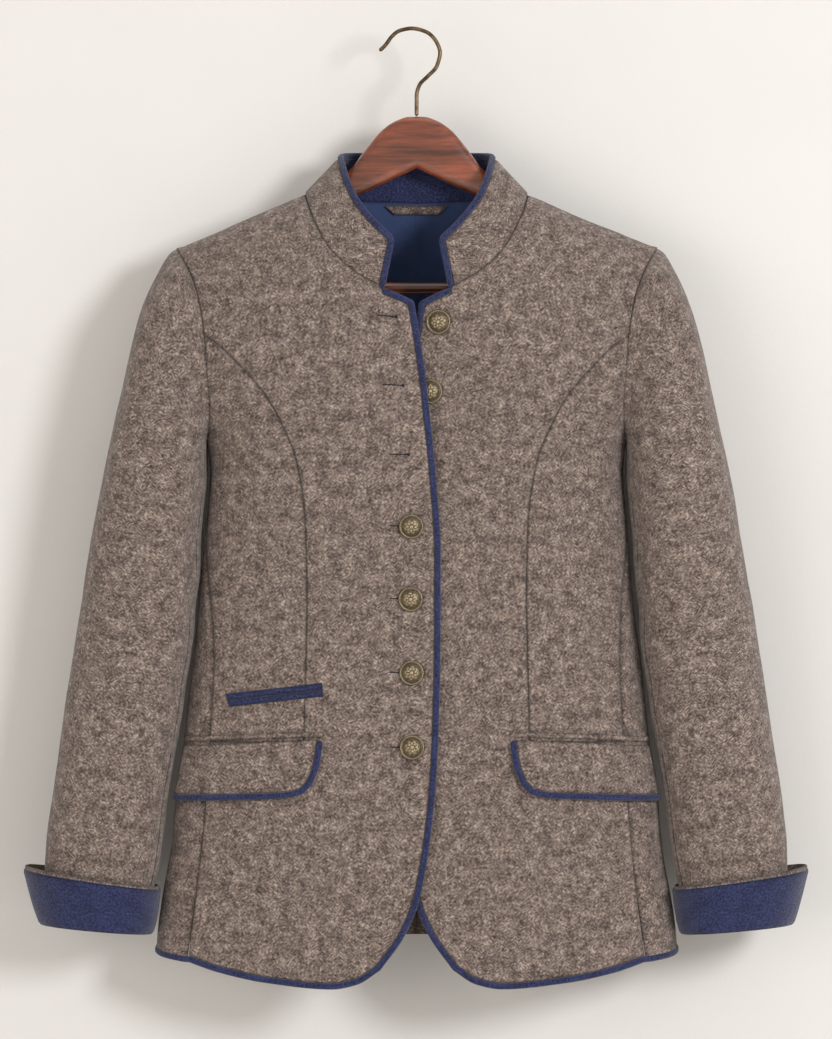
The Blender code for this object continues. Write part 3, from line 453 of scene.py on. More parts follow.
def finish_object(name, bm, material, *nodes, slot):
    """A smooth mesh object that rides on the part's one body and stands for its CAD nodes."""
    mesh = bpy.data.meshes.new(name)
    bm.to_mesh(mesh)
    bm.free()
    mesh.materials.append(material)
    mesh.shade_smooth()
    mesh.set_sharp_from_angle(angle=SHARP_ANGLE)
    obj = bpy.data.objects.new(name, mesh)
    bpy.context.scene.collection.objects.link(obj)
    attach(obj, "root")
    if nodes:
        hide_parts(*nodes)
    return obj


def add_patch(bm, uv, outward, grid, place, flat):
    """A flat grid of faces moved to its places, with the cloth's flat place in its UV map."""
    rows, columns = grid.shape[0] - 1, grid.shape[1] - 1
    first_face = len(bm.faces)
    verts = bmesh.ops.create_grid(bm, x_segments=columns, y_segments=rows, size=0.5)["verts"]
    spots = np.array([vert.co[:2] for vert in verts]) + 0.5
    column, row = np.rint(spots * (columns, rows)).astype(int).T
    order = row * (columns + 1) + column
    values = grid.reshape(-1, grid.shape[-1])[order]
    points, normals = place(values)
    flats = dict(zip(verts, flat(values).tolist()))
    for vert, point, normal in zip(verts, points * MM, normals):
        vert.co = point
        vert[outward] = normal
    bm.faces.ensure_lookup_table()
    for face in bm.faces[first_face:]:
        for loop in face.loops:
            loop[uv].uv = flats[loop.vert]


def face_outward(bm, outward):
    face = next(iter(bm.faces))
    face.normal_update()
    if face.normal.dot(face.verts[0][outward]) < 0:
        bmesh.ops.reverse_faces(bm, faces=bm.faces[:])


def edge_distances(bm):
    """How far each point of an open sheet lies from the sheet's rim, in millimetres."""
    spots = []
    for edge in bm.edges:
        if edge.is_boundary:
            first, second = (vert.co for vert in edge.verts)
            pieces = max(1, round(edge.calc_length() / (RIM_STEP * MM)))
            spots.extend(first.lerp(second, step / pieces) for step in range(pieces))
    tree = point_tree(spots)
    return {vert: tree.find(vert.co)[2] / MM for vert in bm.verts}


def cloth(
    name, patches, place, flat, material, *nodes, slot, outside=0.0, thickness=WOOL, crease=1.0,
    held="hung", rests_on=(),
):
    """A wall of cloth whose rim curls down into its seams."""
    bm = bmesh.new()
    uv = bm.loops.layers.uv.new("cloth")
    outward = bm.verts.layers.float_vector.new("outward")
    # The "seam" layer holds painted shade: 1 at the cloth's rim and fading inwards, for the finishes to
    # darken as if shadowed in the crease of a seam
    seam = bm.verts.layers.float.new("seam")
    for grid in patches:
        add_patch(bm, uv, outward, grid, place, flat)
    bmesh.ops.remove_doubles(bm, verts=bm.verts[:], dist=WELD * MM)
    face_outward(bm, outward)
    corners = np.array([loop[uv].uv for face in bm.faces for loop in face.loops])
    width, length = corners.max(axis=0) - corners.min(axis=0)
    area = sum(face.calc_area() for face in bm.faces)
    sizes = bpy.context.scene.jacket_sizes
    reach, depth = sizes.crease_reach / MM, crease * sizes.crease_depth / MM
    distances = edge_distances(bm)
    outer = bm.verts[:]
    dips = []
    for vert in outer:
        # Painted shade: strongest at the rim, gone at the reach
        vert[seam] = max(0.0, 1 - distances[vert] / PAINTED_SEAM_SHADE_REACH)
        away = 1 - min(distances[vert] / reach, 1.0)
        near_armhole = smooth_step(1 - ARMHOLE_TREE.find(vert.co)[2] / (SOFT_SEAM_REACH * MM))
        dips.append(depth * (1 - SOFT_SEAM_SHARE * near_armhole) * (1 - math.sqrt(1 - away * away)))
    made = bmesh.ops.extrude_face_region(bm, geom=bm.faces[:], use_keep_orig=True)
    inner = [item for item in made["geom"] if isinstance(item, bmesh.types.BMVert)]
    for vert, dip in zip(outer, dips):
        vert.co += vert[outward] * ((outside - dip) * MM)
    for vert in inner:
        vert.co += vert[outward] * ((outside - thickness) * MM)
    bmesh.ops.recalc_face_normals(bm, faces=bm.faces[:])
    bm.verts.layers.float_vector.remove(outward)
    obj = finish_object(name, bm, material, *nodes, slot=slot)
    flat_size = (max(width, SMALLEST_FLAT), max(length, SMALLEST_FLAT))
    whole = flat_size[0] * flat_size[1]
    area = min(max(area, LEAST_AREA_SHARE * whole), whole)
    return obj


def bar(name, path, half_width, half_height, asides, ups, material, *nodes, slot, sides, power):
    """A closed bar of rounded section along a path, wide along `asides` and high along `ups`."""
    widths = np.broadcast_to(half_width, len(path))
    heights = np.broadcast_to(half_height, len(path))
    lengths = lengths_along(path)

    def place(values):
        row = np.rint(values[:, 1]).astype(int)
        over = rounded(np.cos(values[:, 0]), power) * widths[row]
        up = rounded(np.sin(values[:, 0]), power) * heights[row]
        offset = asides[row] * over[:, None] + ups[row] * up[:, None]
        return path[row] + offset, offset

    def flat(values):
        row = np.rint(values[:, 1]).astype(int)
        round_it = values[:, 0] * (widths[row].max() + heights[row].max()) / 2
        return np.stack([round_it, lengths[row]], axis=1) * MM

    bm = bmesh.new()
    uv = bm.loops.layers.uv.new("cloth")
    outward = bm.verts.layers.float_vector.new("outward")
    grid = even_grid((0.0, 2 * math.pi), (0, len(path) - 1), sides, len(path) - 1)
    add_patch(bm, uv, outward, grid, place, flat)
    bmesh.ops.remove_doubles(bm, verts=bm.verts[:], dist=FINE_WELD * MM)
    bmesh.ops.holes_fill(bm, edges=[edge for edge in bm.edges if edge.is_boundary], sides=0)
    bm.verts.layers.float_vector.remove(outward)
    bmesh.ops.recalc_face_normals(bm, faces=bm.faces[:])
    finish_object(name, bm, material, *nodes, slot=slot)


def swept(name, path, ups, half_width, half_height, material, *nodes, slot, sides, power=2.0):
    """A bar whose sections stand square to its path. `ups` are the directions that its height lies near."""
    tangents = unit(np.gradient(path, axis=0))
    asides = unit(np.cross(tangents, ups))
    ups = np.cross(asides, tangents)
    bar(
        name, path, half_width, half_height, asides, ups, material, *nodes,
        slot=slot, sides=sides, power=power,
    )


def round_ends(count, radius, reach):
    """A radius along a path that closes in to round ends."""
    place = np.arange(count)
    near = np.clip(np.minimum(place, place[::-1]) / reach, 0.0, 1.0)
    return radius * np.sqrt(np.clip(1 - (1 - near) ** 2, ROUND_END_LEAST, 1.0))


# The woollen body

ARMHOLE_ROWS = 32
PRINCESS_ROWS = 112
NECK_ROWS = 48
FREE_EDGE_ROWS = 8
FRONT_COLUMNS = 52
SKIRT_ROWS = 56
SKIRT_SIDE_COLUMNS = 32
FRONT_EDGE_ROWS = ARMHOLE_ROWS + PRINCESS_ROWS - NECK_ROWS - FREE_EDGE_ROWS
EDGE_PULL = 0.62
UPPER_PULL = 0.3
BACK_ARMHOLE_ROWS = 60
BACK_SIDE_ROWS = 70
BACK_SKIRT_ROWS = 50
BACK_SHOULDER_COLUMNS = 36
BACK_NECK_COLUMNS = 34


def front_outline():
    """The outer edge of one front with its piping, from the collar's end down the front and along the hem."""
    return joined(
        (NECK_FREE_EDGE, FREE_EDGE_ROWS), (FRONT_EDGE_UPPER, FRONT_EDGE_ROWS),
        (FRONT_EDGE_LOWER, SKIRT_ROWS), (FRONT_HEM, SKIRT_SIDE_COLUMNS + FRONT_COLUMNS),
    )


def front(side, material):
    """The front with its skirt, cut in one."""
    name = half_name(side)
    cut = inset(front_outline(), PIPING_WIDTH + CUT_GAP)
    pocket_end = FREE_EDGE_ROWS + FRONT_EDGE_ROWS
    hem_start = pocket_end + SKIRT_ROWS
    shoulder = resampled(SHOULDER_SEAM, FRONT_COLUMNS, EDGE_PULL)
    free_end = np.linspace(NECK_SEAM_FRONT[-1], cut[0], FREE_EDGE_ROWS + 1)
    front_edge = resampled(cut[: pocket_end + 1], FRONT_EDGE_ROWS, UPPER_PULL)
    inner = np.concatenate([resampled(NECK_SEAM_FRONT, NECK_ROWS), free_end[1:], front_edge[1:]])
    outer = joined((ARMHOLE_UPPER_FRONT, ARMHOLE_ROWS), (PRINCESS_SEAM, PRINCESS_ROWS), pull=UPPER_PULL)
    pocket_line = resampled((PRINCESS_SEAM[-1], cut[pocket_end]), FRONT_COLUMNS, EDGE_PULL)
    hem = cut[hem_start:][::-1]
    front_hem = resampled(hem[SKIRT_SIDE_COLUMNS:], FRONT_COLUMNS, EDGE_PULL)
    side_hem = resampled(hem[: SKIRT_SIDE_COLUMNS + 1], SKIRT_SIDE_COLUMNS, EDGE_PULL)
    fold = resampled((PRINCESS_SEAM[-1], hem[SKIRT_SIDE_COLUMNS]), SKIRT_ROWS, EDGE_PULL)
    side_top = resampled((SIDE_SEAM_LOWER[0], PRINCESS_SEAM[-1]), SKIRT_SIDE_COLUMNS, EDGE_PULL)
    side_seam = resampled(SIDE_SEAM_LOWER[:-1] + (tuple(hem[0]),), SKIRT_ROWS, EDGE_PULL)
    front_end = resampled(cut[pocket_end : hem_start + 1], SKIRT_ROWS, EDGE_PULL)

    def lines(*edges):
        return [on_body(edge, side) for edge in edges]

    patches = (
        coons(*lines(shoulder, pocket_line, outer, inner)),
        coons(*lines(pocket_line, front_hem, fold, front_end)),
        coons(*lines(side_top, side_hem, side_seam, fold)),
    )
    cloth(
        f"wool_front_{name}", patches, body_placer(front_surface(side)), BODY_FLAT, material,
        f"front_{name}", slot="wool", rests_on=[f"hanger_arm_{name}"],
    )


def front_side(side, material):
    """The side panel between the princess and side seams."""
    name = half_name(side)
    top = resampled(ARMHOLE_LOWER_FRONT[::-1], SKIRT_SIDE_COLUMNS, EDGE_PULL)
    foot = resampled((SIDE_SEAM_LOWER[0], PRINCESS_SEAM[-1]), SKIRT_SIDE_COLUMNS, EDGE_PULL)
    outer = resampled(SIDE_SEAM_UPPER, PRINCESS_ROWS, UPPER_PULL)
    inner = resampled(PRINCESS_SEAM, PRINCESS_ROWS, UPPER_PULL)
    grid = coons(*[on_body(edge, side) for edge in (top, foot, outer, inner)])
    cloth(
        f"wool_front_side_{name}", [grid], body_placer(front_surface(side)), BODY_FLAT, material,
        f"front_side_{name}", slot="wool", rests_on=[f"wool_front_{name}"],
    )


def back(side, material):
    """One back, from the centre seam round to the side seam, which lies on the front."""
    armhole = on_body(resampled(ARMHOLE_BACK, BACK_ARMHOLE_ROWS), side, behind=True)
    seam = on_body(joined((SIDE_SEAM_UPPER, BACK_SIDE_ROWS), (SIDE_SEAM_LOWER, BACK_SKIRT_ROWS)), side)
    outer = np.concatenate([armhole[:-1], seam])
    top_line = joined((SHOULDER_SEAM, BACK_SHOULDER_COLUMNS), (NECK_SEAM_BACK, BACK_NECK_COLUMNS))
    top = on_body(top_line, side, behind=True)
    drop = (outer[:, 1] - outer[0, 1]) / (outer[-1, 1] - outer[0, 1])
    centre_levels = top[-1, 1] + drop * (BACK_HEM[-1][1] - top[-1, 1])
    centre = np.stack([np.full(len(outer), side * math.pi), centre_levels], axis=1)
    angles = np.linspace(outer[-1, 0], side * math.pi, len(top))
    hem = np.stack([angles, smooth_table(BACK_HEM, np.degrees(np.abs(angles)))[0]], axis=1)
    hem[0] = outer[-1]
    grid = coons(top, hem, outer, centre)
    name = half_name(side)
    cloth(
        f"wool_back_{name}", [grid], body_placer(body_point), BODY_FLAT, material,
        f"back_{name}", slot="wool", rests_on=[f"hanger_arm_{name}"],
    )


LINING_TOP = ((150.0, -172.0), (96.0, -146.0), (80.0, -142.2), (50.0, -143.9), (0.0, -145.8))
LINING_FOOT = ((150.0, -762.0), (0.0, -756.0))
LINING_COLUMNS = 36
LINING_ROWS = 120


def back_lining(side, material):
    lines = (resampled(line, LINING_COLUMNS) for line in (LINING_TOP, LINING_FOOT))
    top, foot = (on_body(line, side, behind=True) for line in lines)
    outer, centre = (np.linspace(top[end], foot[end], LINING_ROWS + 1) for end in (0, -1))
    grid = coons(top, foot, outer, centre)
    name = half_name(side)
    cloth(
        f"lining_back_{name}", [grid], body_placer(body_point), BODY_FLAT, material, f"back_lining_{name}",
        slot="lining", outside=-(WOOL + LINING_GAP), thickness=LINING, rests_on=[f"wool_back_{name}"],
    )


# The stand collar. Its top edge by share from centre back to its front end: distance from the centre
# line, depth and height. Its foot is the neck seam.
COLLAR_TOP = (
    (0.0, 0.0, 27.0, -104.0),
    (0.26, 34.0, 24.5, -104.0),
    (0.42, 56.0, 14.0, -104.5),
    (0.5, 64.0, 0.0, -106.0),
    (0.585, 61.0, -21.0, -118.0),
    (0.733, 54.0, -38.0, -138.0),
    (0.867, 38.0, -50.0, -161.0),
    (1.0, 19.3, -57.0, -180.0),
)
COLLAR_HEIGHT = 44.0
COLLAR_HALF_LENGTH = 215.0
COLLAR_CUT_GAP = 0.3
COLLAR_COLUMNS = 200
COLLAR_ROWS = 16
COLLAR_PULL = 0.2
# How far below the neck seam the facing starts, as a share of the collar's height
FACING_FOOT = -0.055


def collar_point(share, rise):
    """Points of the collar: share runs from -1 to 1 round the neck, rise from 0 at the seam to 1 on top."""
    away = np.abs(share)
    foot = along_points(NECK_RING, away)
    top = np.stack(smooth_table(COLLAR_TOP, away), axis=-1)
    point = foot + np.asarray(rise)[..., None] * (top - foot)
    point[..., 0] *= np.where(share < 0, -1.0, 1.0)
    return point


def collar_place(values):
    share, rise = values[:, 0], values[:, 1]
    points = collar_point(share, rise)
    normals = normals_of(collar_point, share, rise, 0.01, 0.01, -1.0)
    foot = collar_point(share, np.zeros(len(share)))
    away = along_points(NECK_NORMALS, np.abs(share))
    away[:, 0] *= np.where(share < 0, -1.0, 1.0)
    lift = soft_relief(foot) * (1 - smooth_step(rise))
    return points + lift[:, None] * away + JACKET_CENTRE, normals


COLLAR_FLAT = unrolled(collar_point, (-1.0, 1.0), (0.0, 1.0), 160, 8)


def collar(wool, felt):
    end = 1 - (PIPING_WIDTH + COLLAR_CUT_GAP) / COLLAR_HALF_LENGTH
    top = 1 - (PIPING_WIDTH + COLLAR_CUT_GAP) / COLLAR_HEIGHT
    outer, facing = (
        even_grid((-end, end), (foot, top), COLLAR_COLUMNS, COLLAR_ROWS, COLLAR_PULL)
        for foot in (0.0, FACING_FOOT)
    )
    cloth(
        "wool_collar", [outer], collar_place, COLLAR_FLAT, wool, "collar", slot="wool",
        rests_on=["wool_front_right", "wool_front_left", "wool_back_right", "wool_back_left"],
    )
    cloth(
        "felt_collar_facing", [facing], collar_place, COLLAR_FLAT, felt, "collar_facing", slot="felt",
        outside=-(WOOL + GAP), thickness=FELT, crease=0.4, rests_on=["wool_collar"],
    )


PIPING_SIDES = 14
PIPING_POWER = 2.6
PIPING_END_ROWS = 3


def piping(name, path, normals, material, *nodes):
    """A folded edge of felt, a little wider than it is thick, with round ends."""
    sizes = bpy.context.scene.jacket_sizes
    width = round_ends(len(path), sizes.piping_width / MM / 2, PIPING_END_ROWS)
    height = round_ends(len(path), sizes.piping_height / MM / 2, PIPING_END_ROWS)
    points = path - (PIPING_WIDTH / 2 - PIPING_PROUD) * normals
    swept(
        name, points, normals, width, height, material, *nodes,
        slot="felt", sides=PIPING_SIDES, power=PIPING_POWER,
    )


# How far the fronts' piping runs out under the collar's, to close their corner
CORNER_REACH = 2.6
# How far round from centre front the piping runs on along the back's hem
HEM_PIPING_END = math.radians(104)
FRONT_PIPING_ROWS = 420
HEM_PIPING_ROWS = 60
HEM_PIPING_BLEND_ROWS = 12
# The collar's piping as shares of the collar's half length and height: where it rises from, how far
# it is cut off at its two corners, and its rows
COLLAR_PIPING_FOOT = -0.05
COLLAR_CORNER_RISE = 0.06
COLLAR_CORNER_SHARE = 0.012
COLLAR_PIPING_END_ROWS = 18
COLLAR_PIPING_TOP_ROWS = 240


def front_piping(side, material):
    line = resampled(inset(front_outline(), PIPING_WIDTH / 2)[:-1], FRONT_PIPING_ROWS)
    start = unit(line[1] - line[0])
    line = np.concatenate([[line[0] - CORNER_REACH * start], line])
    values = on_body(line, side)
    angles = np.linspace(np.abs(values[-1, 0]), HEM_PIPING_END, HEM_PIPING_ROWS)[1:]
    levels = smooth_table(BACK_HEM, np.degrees(angles))[0] + PIPING_WIDTH / 2
    levels += (values[-1, 1] - levels[0]) * smooth_step(1 - np.arange(len(angles)) / HEM_PIPING_BLEND_ROWS)
    values = np.concatenate([values, np.stack([side * angles, levels], axis=1)])
    points, normals = body_placer(front_surface(side))(values)
    name = half_name(side)
    piping(f"felt_front_piping_{name}", points, normals, material, f"front_piping_{name}")


def collar_piping(material):
    end = 1 - PIPING_WIDTH / 2 / COLLAR_HALF_LENGTH
    top = 1 - PIPING_WIDTH / 2 / COLLAR_HEIGHT
    rises = np.linspace(COLLAR_PIPING_FOOT, top - COLLAR_CORNER_RISE, COLLAR_PIPING_END_ROWS)
    shares = np.linspace(end - COLLAR_CORNER_SHARE, -end + COLLAR_CORNER_SHARE, COLLAR_PIPING_TOP_ROWS)
    path = [(end, rise) for rise in rises] + [(share, top) for share in shares]
    path += [(-end, rise) for rise in rises[::-1]]
    points, normals = collar_place(np.array(path))
    piping("felt_collar_piping", points, normals, material, "collar_piping")


# Sleeve sections from the armhole to the hidden end: outer edge x and z, inner edge x and z,
# the centre's depth, and how far the sleeve reaches to the front and to the back of it
SLEEVE_SECTIONS = (
    (0.0, 205.7, -187.5, 180.0, -352.0, 0.0, 44.0, 30.0),
    (1.0, 214.5, -192.0, 180.0, -360.0, 0.0, 50.0, 38.0),
    (2.0, 223.0, -211.0, 178.9, -370.0, -1.0, 55.0, 44.0),
    (3.0, 238.0, -249.0, 178.8, -384.0, -2.0, 58.0, 48.0),
    (4.0, 255.7, -324.0, 180.6, -402.0, -4.0, 59.0, 49.0),
    (5.0, 268.0, -383.0, 183.4, -430.0, -6.0, 57.0, 48.0),
    (6.0, 280.0, -453.0, 187.2, -480.0, -8.0, 54.0, 46.0),
    (7.0, 290.0, -515.0, 192.6, -530.0, -10.0, 51.0, 44.0),
    (8.0, 299.5, -572.0, 199.6, -582.0, -12.0, 48.0, 42.0),
    (9.0, 308.6, -641.0, 210.8, -650.0, -13.0, 45.0, 40.0),
    (10.0, 315.0, -693.0, 217.6, -704.0, -14.0, 42.0, 38.0),
    (11.0, 317.0, -730.0, 224.8, -738.0, -15.0, 37.5, 36.0),
    (12.0, 318.0, -760.5, 228.3, -768.5, -15.0, 36.4, 35.4),
)
SLEEVE_POWER = 2.25
# Steps in degrees and in rows that a sleeve's or a cuff's directions are measured over
TURN_STEP = 2
ROW_STEP = 0.02
ARMHOLE_REACH = 2.6
TOP_SLEEVE_FROM = -140.0
TOP_SLEEVE_TO = 160.0
SLEEVE_END = 12.0
TOP_SLEEVE_COLUMNS = 104
UNDER_SLEEVE_COLUMNS = 44
SLEEVE_ROWS = 176
SLEEVE_PULL = 0.35
# The crown's ridge and the groove in front of it: height, place and reach in degrees round the sleeve,
# the sections over which each comes in, the section by which it has gone and how many that takes
CROWN_FOLDS = ((2.2, 38.0, 15.0, 1.2, 6.2, 2.5), (-1.4, 66.0, 14.0, 1.5, 7.5, 2.5))
# The elbow's folds: height, how closely they follow each other, the middle section and the reach from it,
# and the middle and the reach in degrees round the sleeve
ELBOW_FOLDS = (1.2, 5.2, 6.4, 1.4, 150.0, 50.0)
# Towards its hidden end the sleeve swells less: the section by which it does, how many sections that
# takes, and the share that is left
SWELL_END = 11.6
SWELL_FADE = 1.5
SWELL_LEAST = 0.3
# The sections over which a sleeve's own directions take over from the body's
OWN_DIRECTION_REACH = 0.8


def section_points(rows, angle, power):
    """Points of rounded sections, from the outer edge at 0 round the front at a quarter turn."""
    outer_x, outer_z, inner_x, inner_z, centre_y, front_reach, back_reach = rows
    along = rounded(np.cos(angle), power)
    depth = rounded(np.sin(angle), power)
    x = (outer_x + inner_x) / 2 + along * (outer_x - inner_x) / 2
    z = (outer_z + inner_z) / 2 + along * (outer_z - inner_z) / 2
    y = centre_y - depth * np.where(depth > 0, front_reach, back_reach)
    return np.stack([x, y, z], axis=-1)


def half_turn(degrees):
    """The same direction between -180 and 180 degrees."""
    return (degrees + 180) % 360 - 180


def armhole_values(kind, turn):
    """The armhole's points (kind 0) or the body's directions there (kind 1), by degrees round the sleeve."""
    front_half = along_points(ARMHOLES[0][kind], np.abs(turn) / 180)
    back_half = along_points(ARMHOLES[1][kind], np.abs(turn) / 180)
    return np.where((turn > 0)[..., None], front_half, back_half)


def sleeve_point(degrees, section):
    """Points of a left sleeve, by degrees round from its outer edge and by section down it."""
    point = section_points(smooth_table(SLEEVE_SECTIONS, section), np.radians(degrees), SLEEVE_POWER)
    at_armhole = armhole_values(0, half_turn(degrees))
    share = smooth_step(section / ARMHOLE_REACH)[..., None]
    return at_armhole + share * (point - at_armhole)


def sleeve_folds(degrees, section):
    """Drapes of the sleeve: the crown's ridge with its groove, and the elbow's folds on the inner side."""
    turn = half_turn(degrees)
    lift = 0.0
    for depth, middle, reach, comes_in, ends, fades in CROWN_FOLDS:
        fold = depth * bell(turn, middle, reach)
        lift = lift + fold * smooth_step(section / comes_in) * smooth_step((ends - section) / fades)
    depth, waves, middle, reach, middle_turn, turn_reach = ELBOW_FOLDS
    elbow = depth * np.sin((section + turn / 90) * waves) * bell(section, middle, reach)
    return lift + elbow * bell(np.abs(turn), middle_turn, turn_reach)


def sleeve_placer(side):
    def surface(degrees, section):
        return sleeve_point(degrees, section) * np.array([side, 1.0, 1.0])

    def place(values):
        degrees, section = values[:, 0], values[:, 1]
        across = surface(degrees + TURN_STEP, section) - surface(degrees - TURN_STEP, section)
        above = surface(degrees, np.maximum(section - ROW_STEP, 0.0))
        normals = unit(np.cross(across, surface(degrees, section + ROW_STEP) - above) * side)
        points = surface(degrees, section)
        fade = smooth_step((SWELL_END - section) / SWELL_FADE)
        lift = soft_relief(points) * (SWELL_LEAST + (1 - SWELL_LEAST) * fade) + sleeve_folds(degrees, section)
        away = armhole_values(1, half_turn(degrees)) * (side, 1.0, 1.0)
        away = away + smooth_step(section / OWN_DIRECTION_REACH)[:, None] * (normals - away)
        return points + lift[:, None] * away + JACKET_CENTRE, normals

    return place


# The sleeve's own axis, for the grain: a point on it, its two directions and the radius to unroll at
SLEEVE_AXIS_POINT = np.array([208.4, -8.0, -316.5])
SLEEVE_DOWN = np.array([0.143, 0.0, -0.99])
SLEEVE_ASIDE = np.array([0.99, 0.0, 0.143])
SLEEVE_FLAT_RADIUS = 46.0


def sleeve_flat(values):
    """The flat place of a sleeve's points, round its own axis and down it, for the cloth's grain."""
    degrees, section = values[:, 0], values[:, 1]
    point = sleeve_point(degrees, section) - SLEEVE_AXIS_POINT
    off = np.arctan2(-point[:, 1], point @ SLEEVE_ASIDE) - np.radians(degrees)
    turn = np.radians(degrees) + np.arctan2(np.sin(off), np.cos(off))
    return np.stack([SLEEVE_FLAT_RADIUS * turn, point @ SLEEVE_DOWN], axis=1) * MM


def sleeve(side, material):
    name = half_name(side)
    place = sleeve_placer(side)
    ranges = {
        "top": ((TOP_SLEEVE_FROM, TOP_SLEEVE_TO), TOP_SLEEVE_COLUMNS),
        "under": ((TOP_SLEEVE_TO, TOP_SLEEVE_FROM + 360), UNDER_SLEEVE_COLUMNS),
    }
    for kind, (turns, columns) in ranges.items():
        grid = even_grid(turns, (0.0, SLEEVE_END), columns, SLEEVE_ROWS, SLEEVE_PULL)
        cloth(
            f"wool_sleeve_{kind}_{name}", [grid], place, sleeve_flat, material, f"sleeve_{kind}_{name}",
            slot="wool", rests_on=[f"wool_front_{name}", f"wool_back_{name}"],
        )


# The turned-back cuff from its fold, at the bottom, to its free edge: outer edge x and z, inner edge x
# and z, the centre's depth, and how far it reaches to the front and to the back of it
CUFF_SECTIONS = (
    (0.0, 321.5, -763.0, 224.6, -771.5, -15.0, 41.0, 40.0),
    (0.3, 326.0, -750.0, 221.5, -761.0, -15.0, 43.5, 42.0),
    (1.0, 335.6, -713.5, 217.2, -731.0, -15.0, 50.0, 47.0),
)
CUFF_POWER = 2.3
FACING_TOP = 0.95
CUFF_TURN_FOOT = 0.02
CUFF_COLUMNS = 128
CUFF_ROWS = 20
CUFF_SWELL = 0.7


def cuff_point(degrees, rise):
    return section_points(smooth_table(CUFF_SECTIONS, rise), np.radians(degrees), CUFF_POWER)


CUFF_FLAT = unrolled(cuff_point, (-180.0, 180.0), (0.0, 1.0), 96, 12)


def cuff(side, wool, felt):
    """The wool turned up at the sleeve's end, and the felt facing on it that shows outside."""

    def surface(degrees, rise):
        return cuff_point(degrees, rise) * np.array([side, 1.0, 1.0])

    def place(values):
        degrees, rise = values[:, 0], values[:, 1]
        across = surface(degrees + TURN_STEP, rise) - surface(degrees - TURN_STEP, rise)
        below = surface(degrees, np.maximum(rise - ROW_STEP, 0.0))
        normals = unit(np.cross(across, surface(degrees, np.minimum(rise + ROW_STEP, 1.0)) - below) * -side)
        points = surface(degrees, rise)
        lift = CUFF_SWELL * soft_relief(points) * smooth_step(rise * 2)
        return points + lift[:, None] * normals + JACKET_CENTRE, normals

    name = half_name(side)
    facing = even_grid((-180.0, 180.0), (0.0, FACING_TOP), CUFF_COLUMNS, CUFF_ROWS)
    turn = even_grid((-180.0, 180.0), (CUFF_TURN_FOOT, 1.0), CUFF_COLUMNS, CUFF_ROWS)
    cloth(
        f"felt_cuff_{name}", [facing], place, CUFF_FLAT, felt, f"cuff_facing_{name}", slot="felt",
        thickness=FELT, crease=0.6, held="folded", rests_on=[f"wool_cuff_{name}"],
    )
    cloth(
        f"wool_cuff_{name}", [turn], place, CUFF_FLAT, wool, f"cuff_{name}", slot="wool",
        outside=-(FELT + GAP), crease=0.6, held="folded", rests_on=[f"wool_sleeve_top_{name}"],
    )


# Pockets. The flap: its top edge, its outer end, and its piped front end and foot
FLAP_TOP = ((197.0, -611.0), (150.0, -608.0), (79.0, -605.5))
FLAP_OUTER = ((197.0, -611.0), (201.5, -640.0), (203.5, -657.5))
FLAP_FRONT = ((79.0, -605.5), (82.0, -626.0), (88.0, -642.0))
FLAP_FOOT = ((88.0, -642.0), (97.0, -650.5), (112.0, -653.8), (150.0, -655.5), (203.5, -657.5))
FLAP_LIFT_TOP = 0.9
FLAP_LIFT_FOOT = 2.8
FLAP_END_ROWS = 24
FLAP_COLUMNS = 72
JET_HEIGHT = 4.6
JET_THICKNESS = 1.5
JET_LIFT = 1.1
JET_ABOVE_FLAP = 3.2
JET_ROWS = 6
FLAP_PIPING_ROWS = 200


def with_lift(grid, lift_top, lift_foot):
    """The grid with a third value, how far each row stands off the surface."""
    lifts = np.linspace(lift_top, lift_foot, grid.shape[0])[:, None, None]
    return np.concatenate([grid, np.broadcast_to(lifts, grid.shape[:2] + (1,))], axis=2)


def pocket(side, wool, felt):
    """The flap, its piping and the narrow strip above it."""
    name = half_name(side)
    place = body_placer(front_surface(side))
    piped = joined((FLAP_FRONT, FLAP_END_ROWS), (FLAP_FOOT, FLAP_COLUMNS))
    cut = inset(piped, PIPING_WIDTH + CUT_GAP)
    foot = cut[FLAP_END_ROWS:][::-1]
    top = resampled(FLAP_TOP[:-1] + (tuple(cut[0]),), FLAP_COLUMNS)
    outer = resampled(FLAP_OUTER[:-1] + (tuple(foot[0]),), FLAP_END_ROWS)
    grid = coons(*[on_body(line, side) for line in (top, foot, outer, cut[: FLAP_END_ROWS + 1])])
    cloth(
        f"wool_flap_{name}", [with_lift(grid, FLAP_LIFT_TOP, FLAP_LIFT_FOOT)], place, BODY_FLAT, wool,
        f"flap_{name}", slot="wool", outside=WOOL, crease=0.7, rests_on=[f"wool_front_{name}"],
    )
    middle = resampled(inset(piped, PIPING_WIDTH / 2), FLAP_PIPING_ROWS)
    drops = (middle[:, 1] - FLAP_TOP[-1][1]) / (FLAP_FOOT[-1][1] - FLAP_TOP[-1][1])
    lifts = FLAP_LIFT_TOP + drops * (FLAP_LIFT_FOOT - FLAP_LIFT_TOP) + PIPING_WIDTH / 2
    points, normals = place(np.column_stack([on_body(middle, side), lifts]))
    lowered = points + (PIPING_WIDTH / 2 - PIPING_PROUD) * normals
    piping(f"felt_flap_piping_{name}", lowered, normals, felt, f"flap_piping_{name}")

    strip_foot = resampled(FLAP_TOP, FLAP_COLUMNS) + (0.0, JET_ABOVE_FLAP)
    strip_top = strip_foot + (0.0, JET_HEIGHT)
    ends = [np.linspace(strip_top[end], strip_foot[end], JET_ROWS + 1) for end in (0, -1)]
    strip = coons(*[on_body(line, side) for line in (strip_top, strip_foot, *ends)])
    cloth(
        f"wool_jet_{name}", [strip], place, BODY_FLAT, wool, f"flap_jet_{name}", slot="wool",
        outside=JET_THICKNESS + JET_LIFT, thickness=JET_THICKNESS, crease=0.6, held="folded",
        rests_on=[f"wool_front_{name}"],
    )


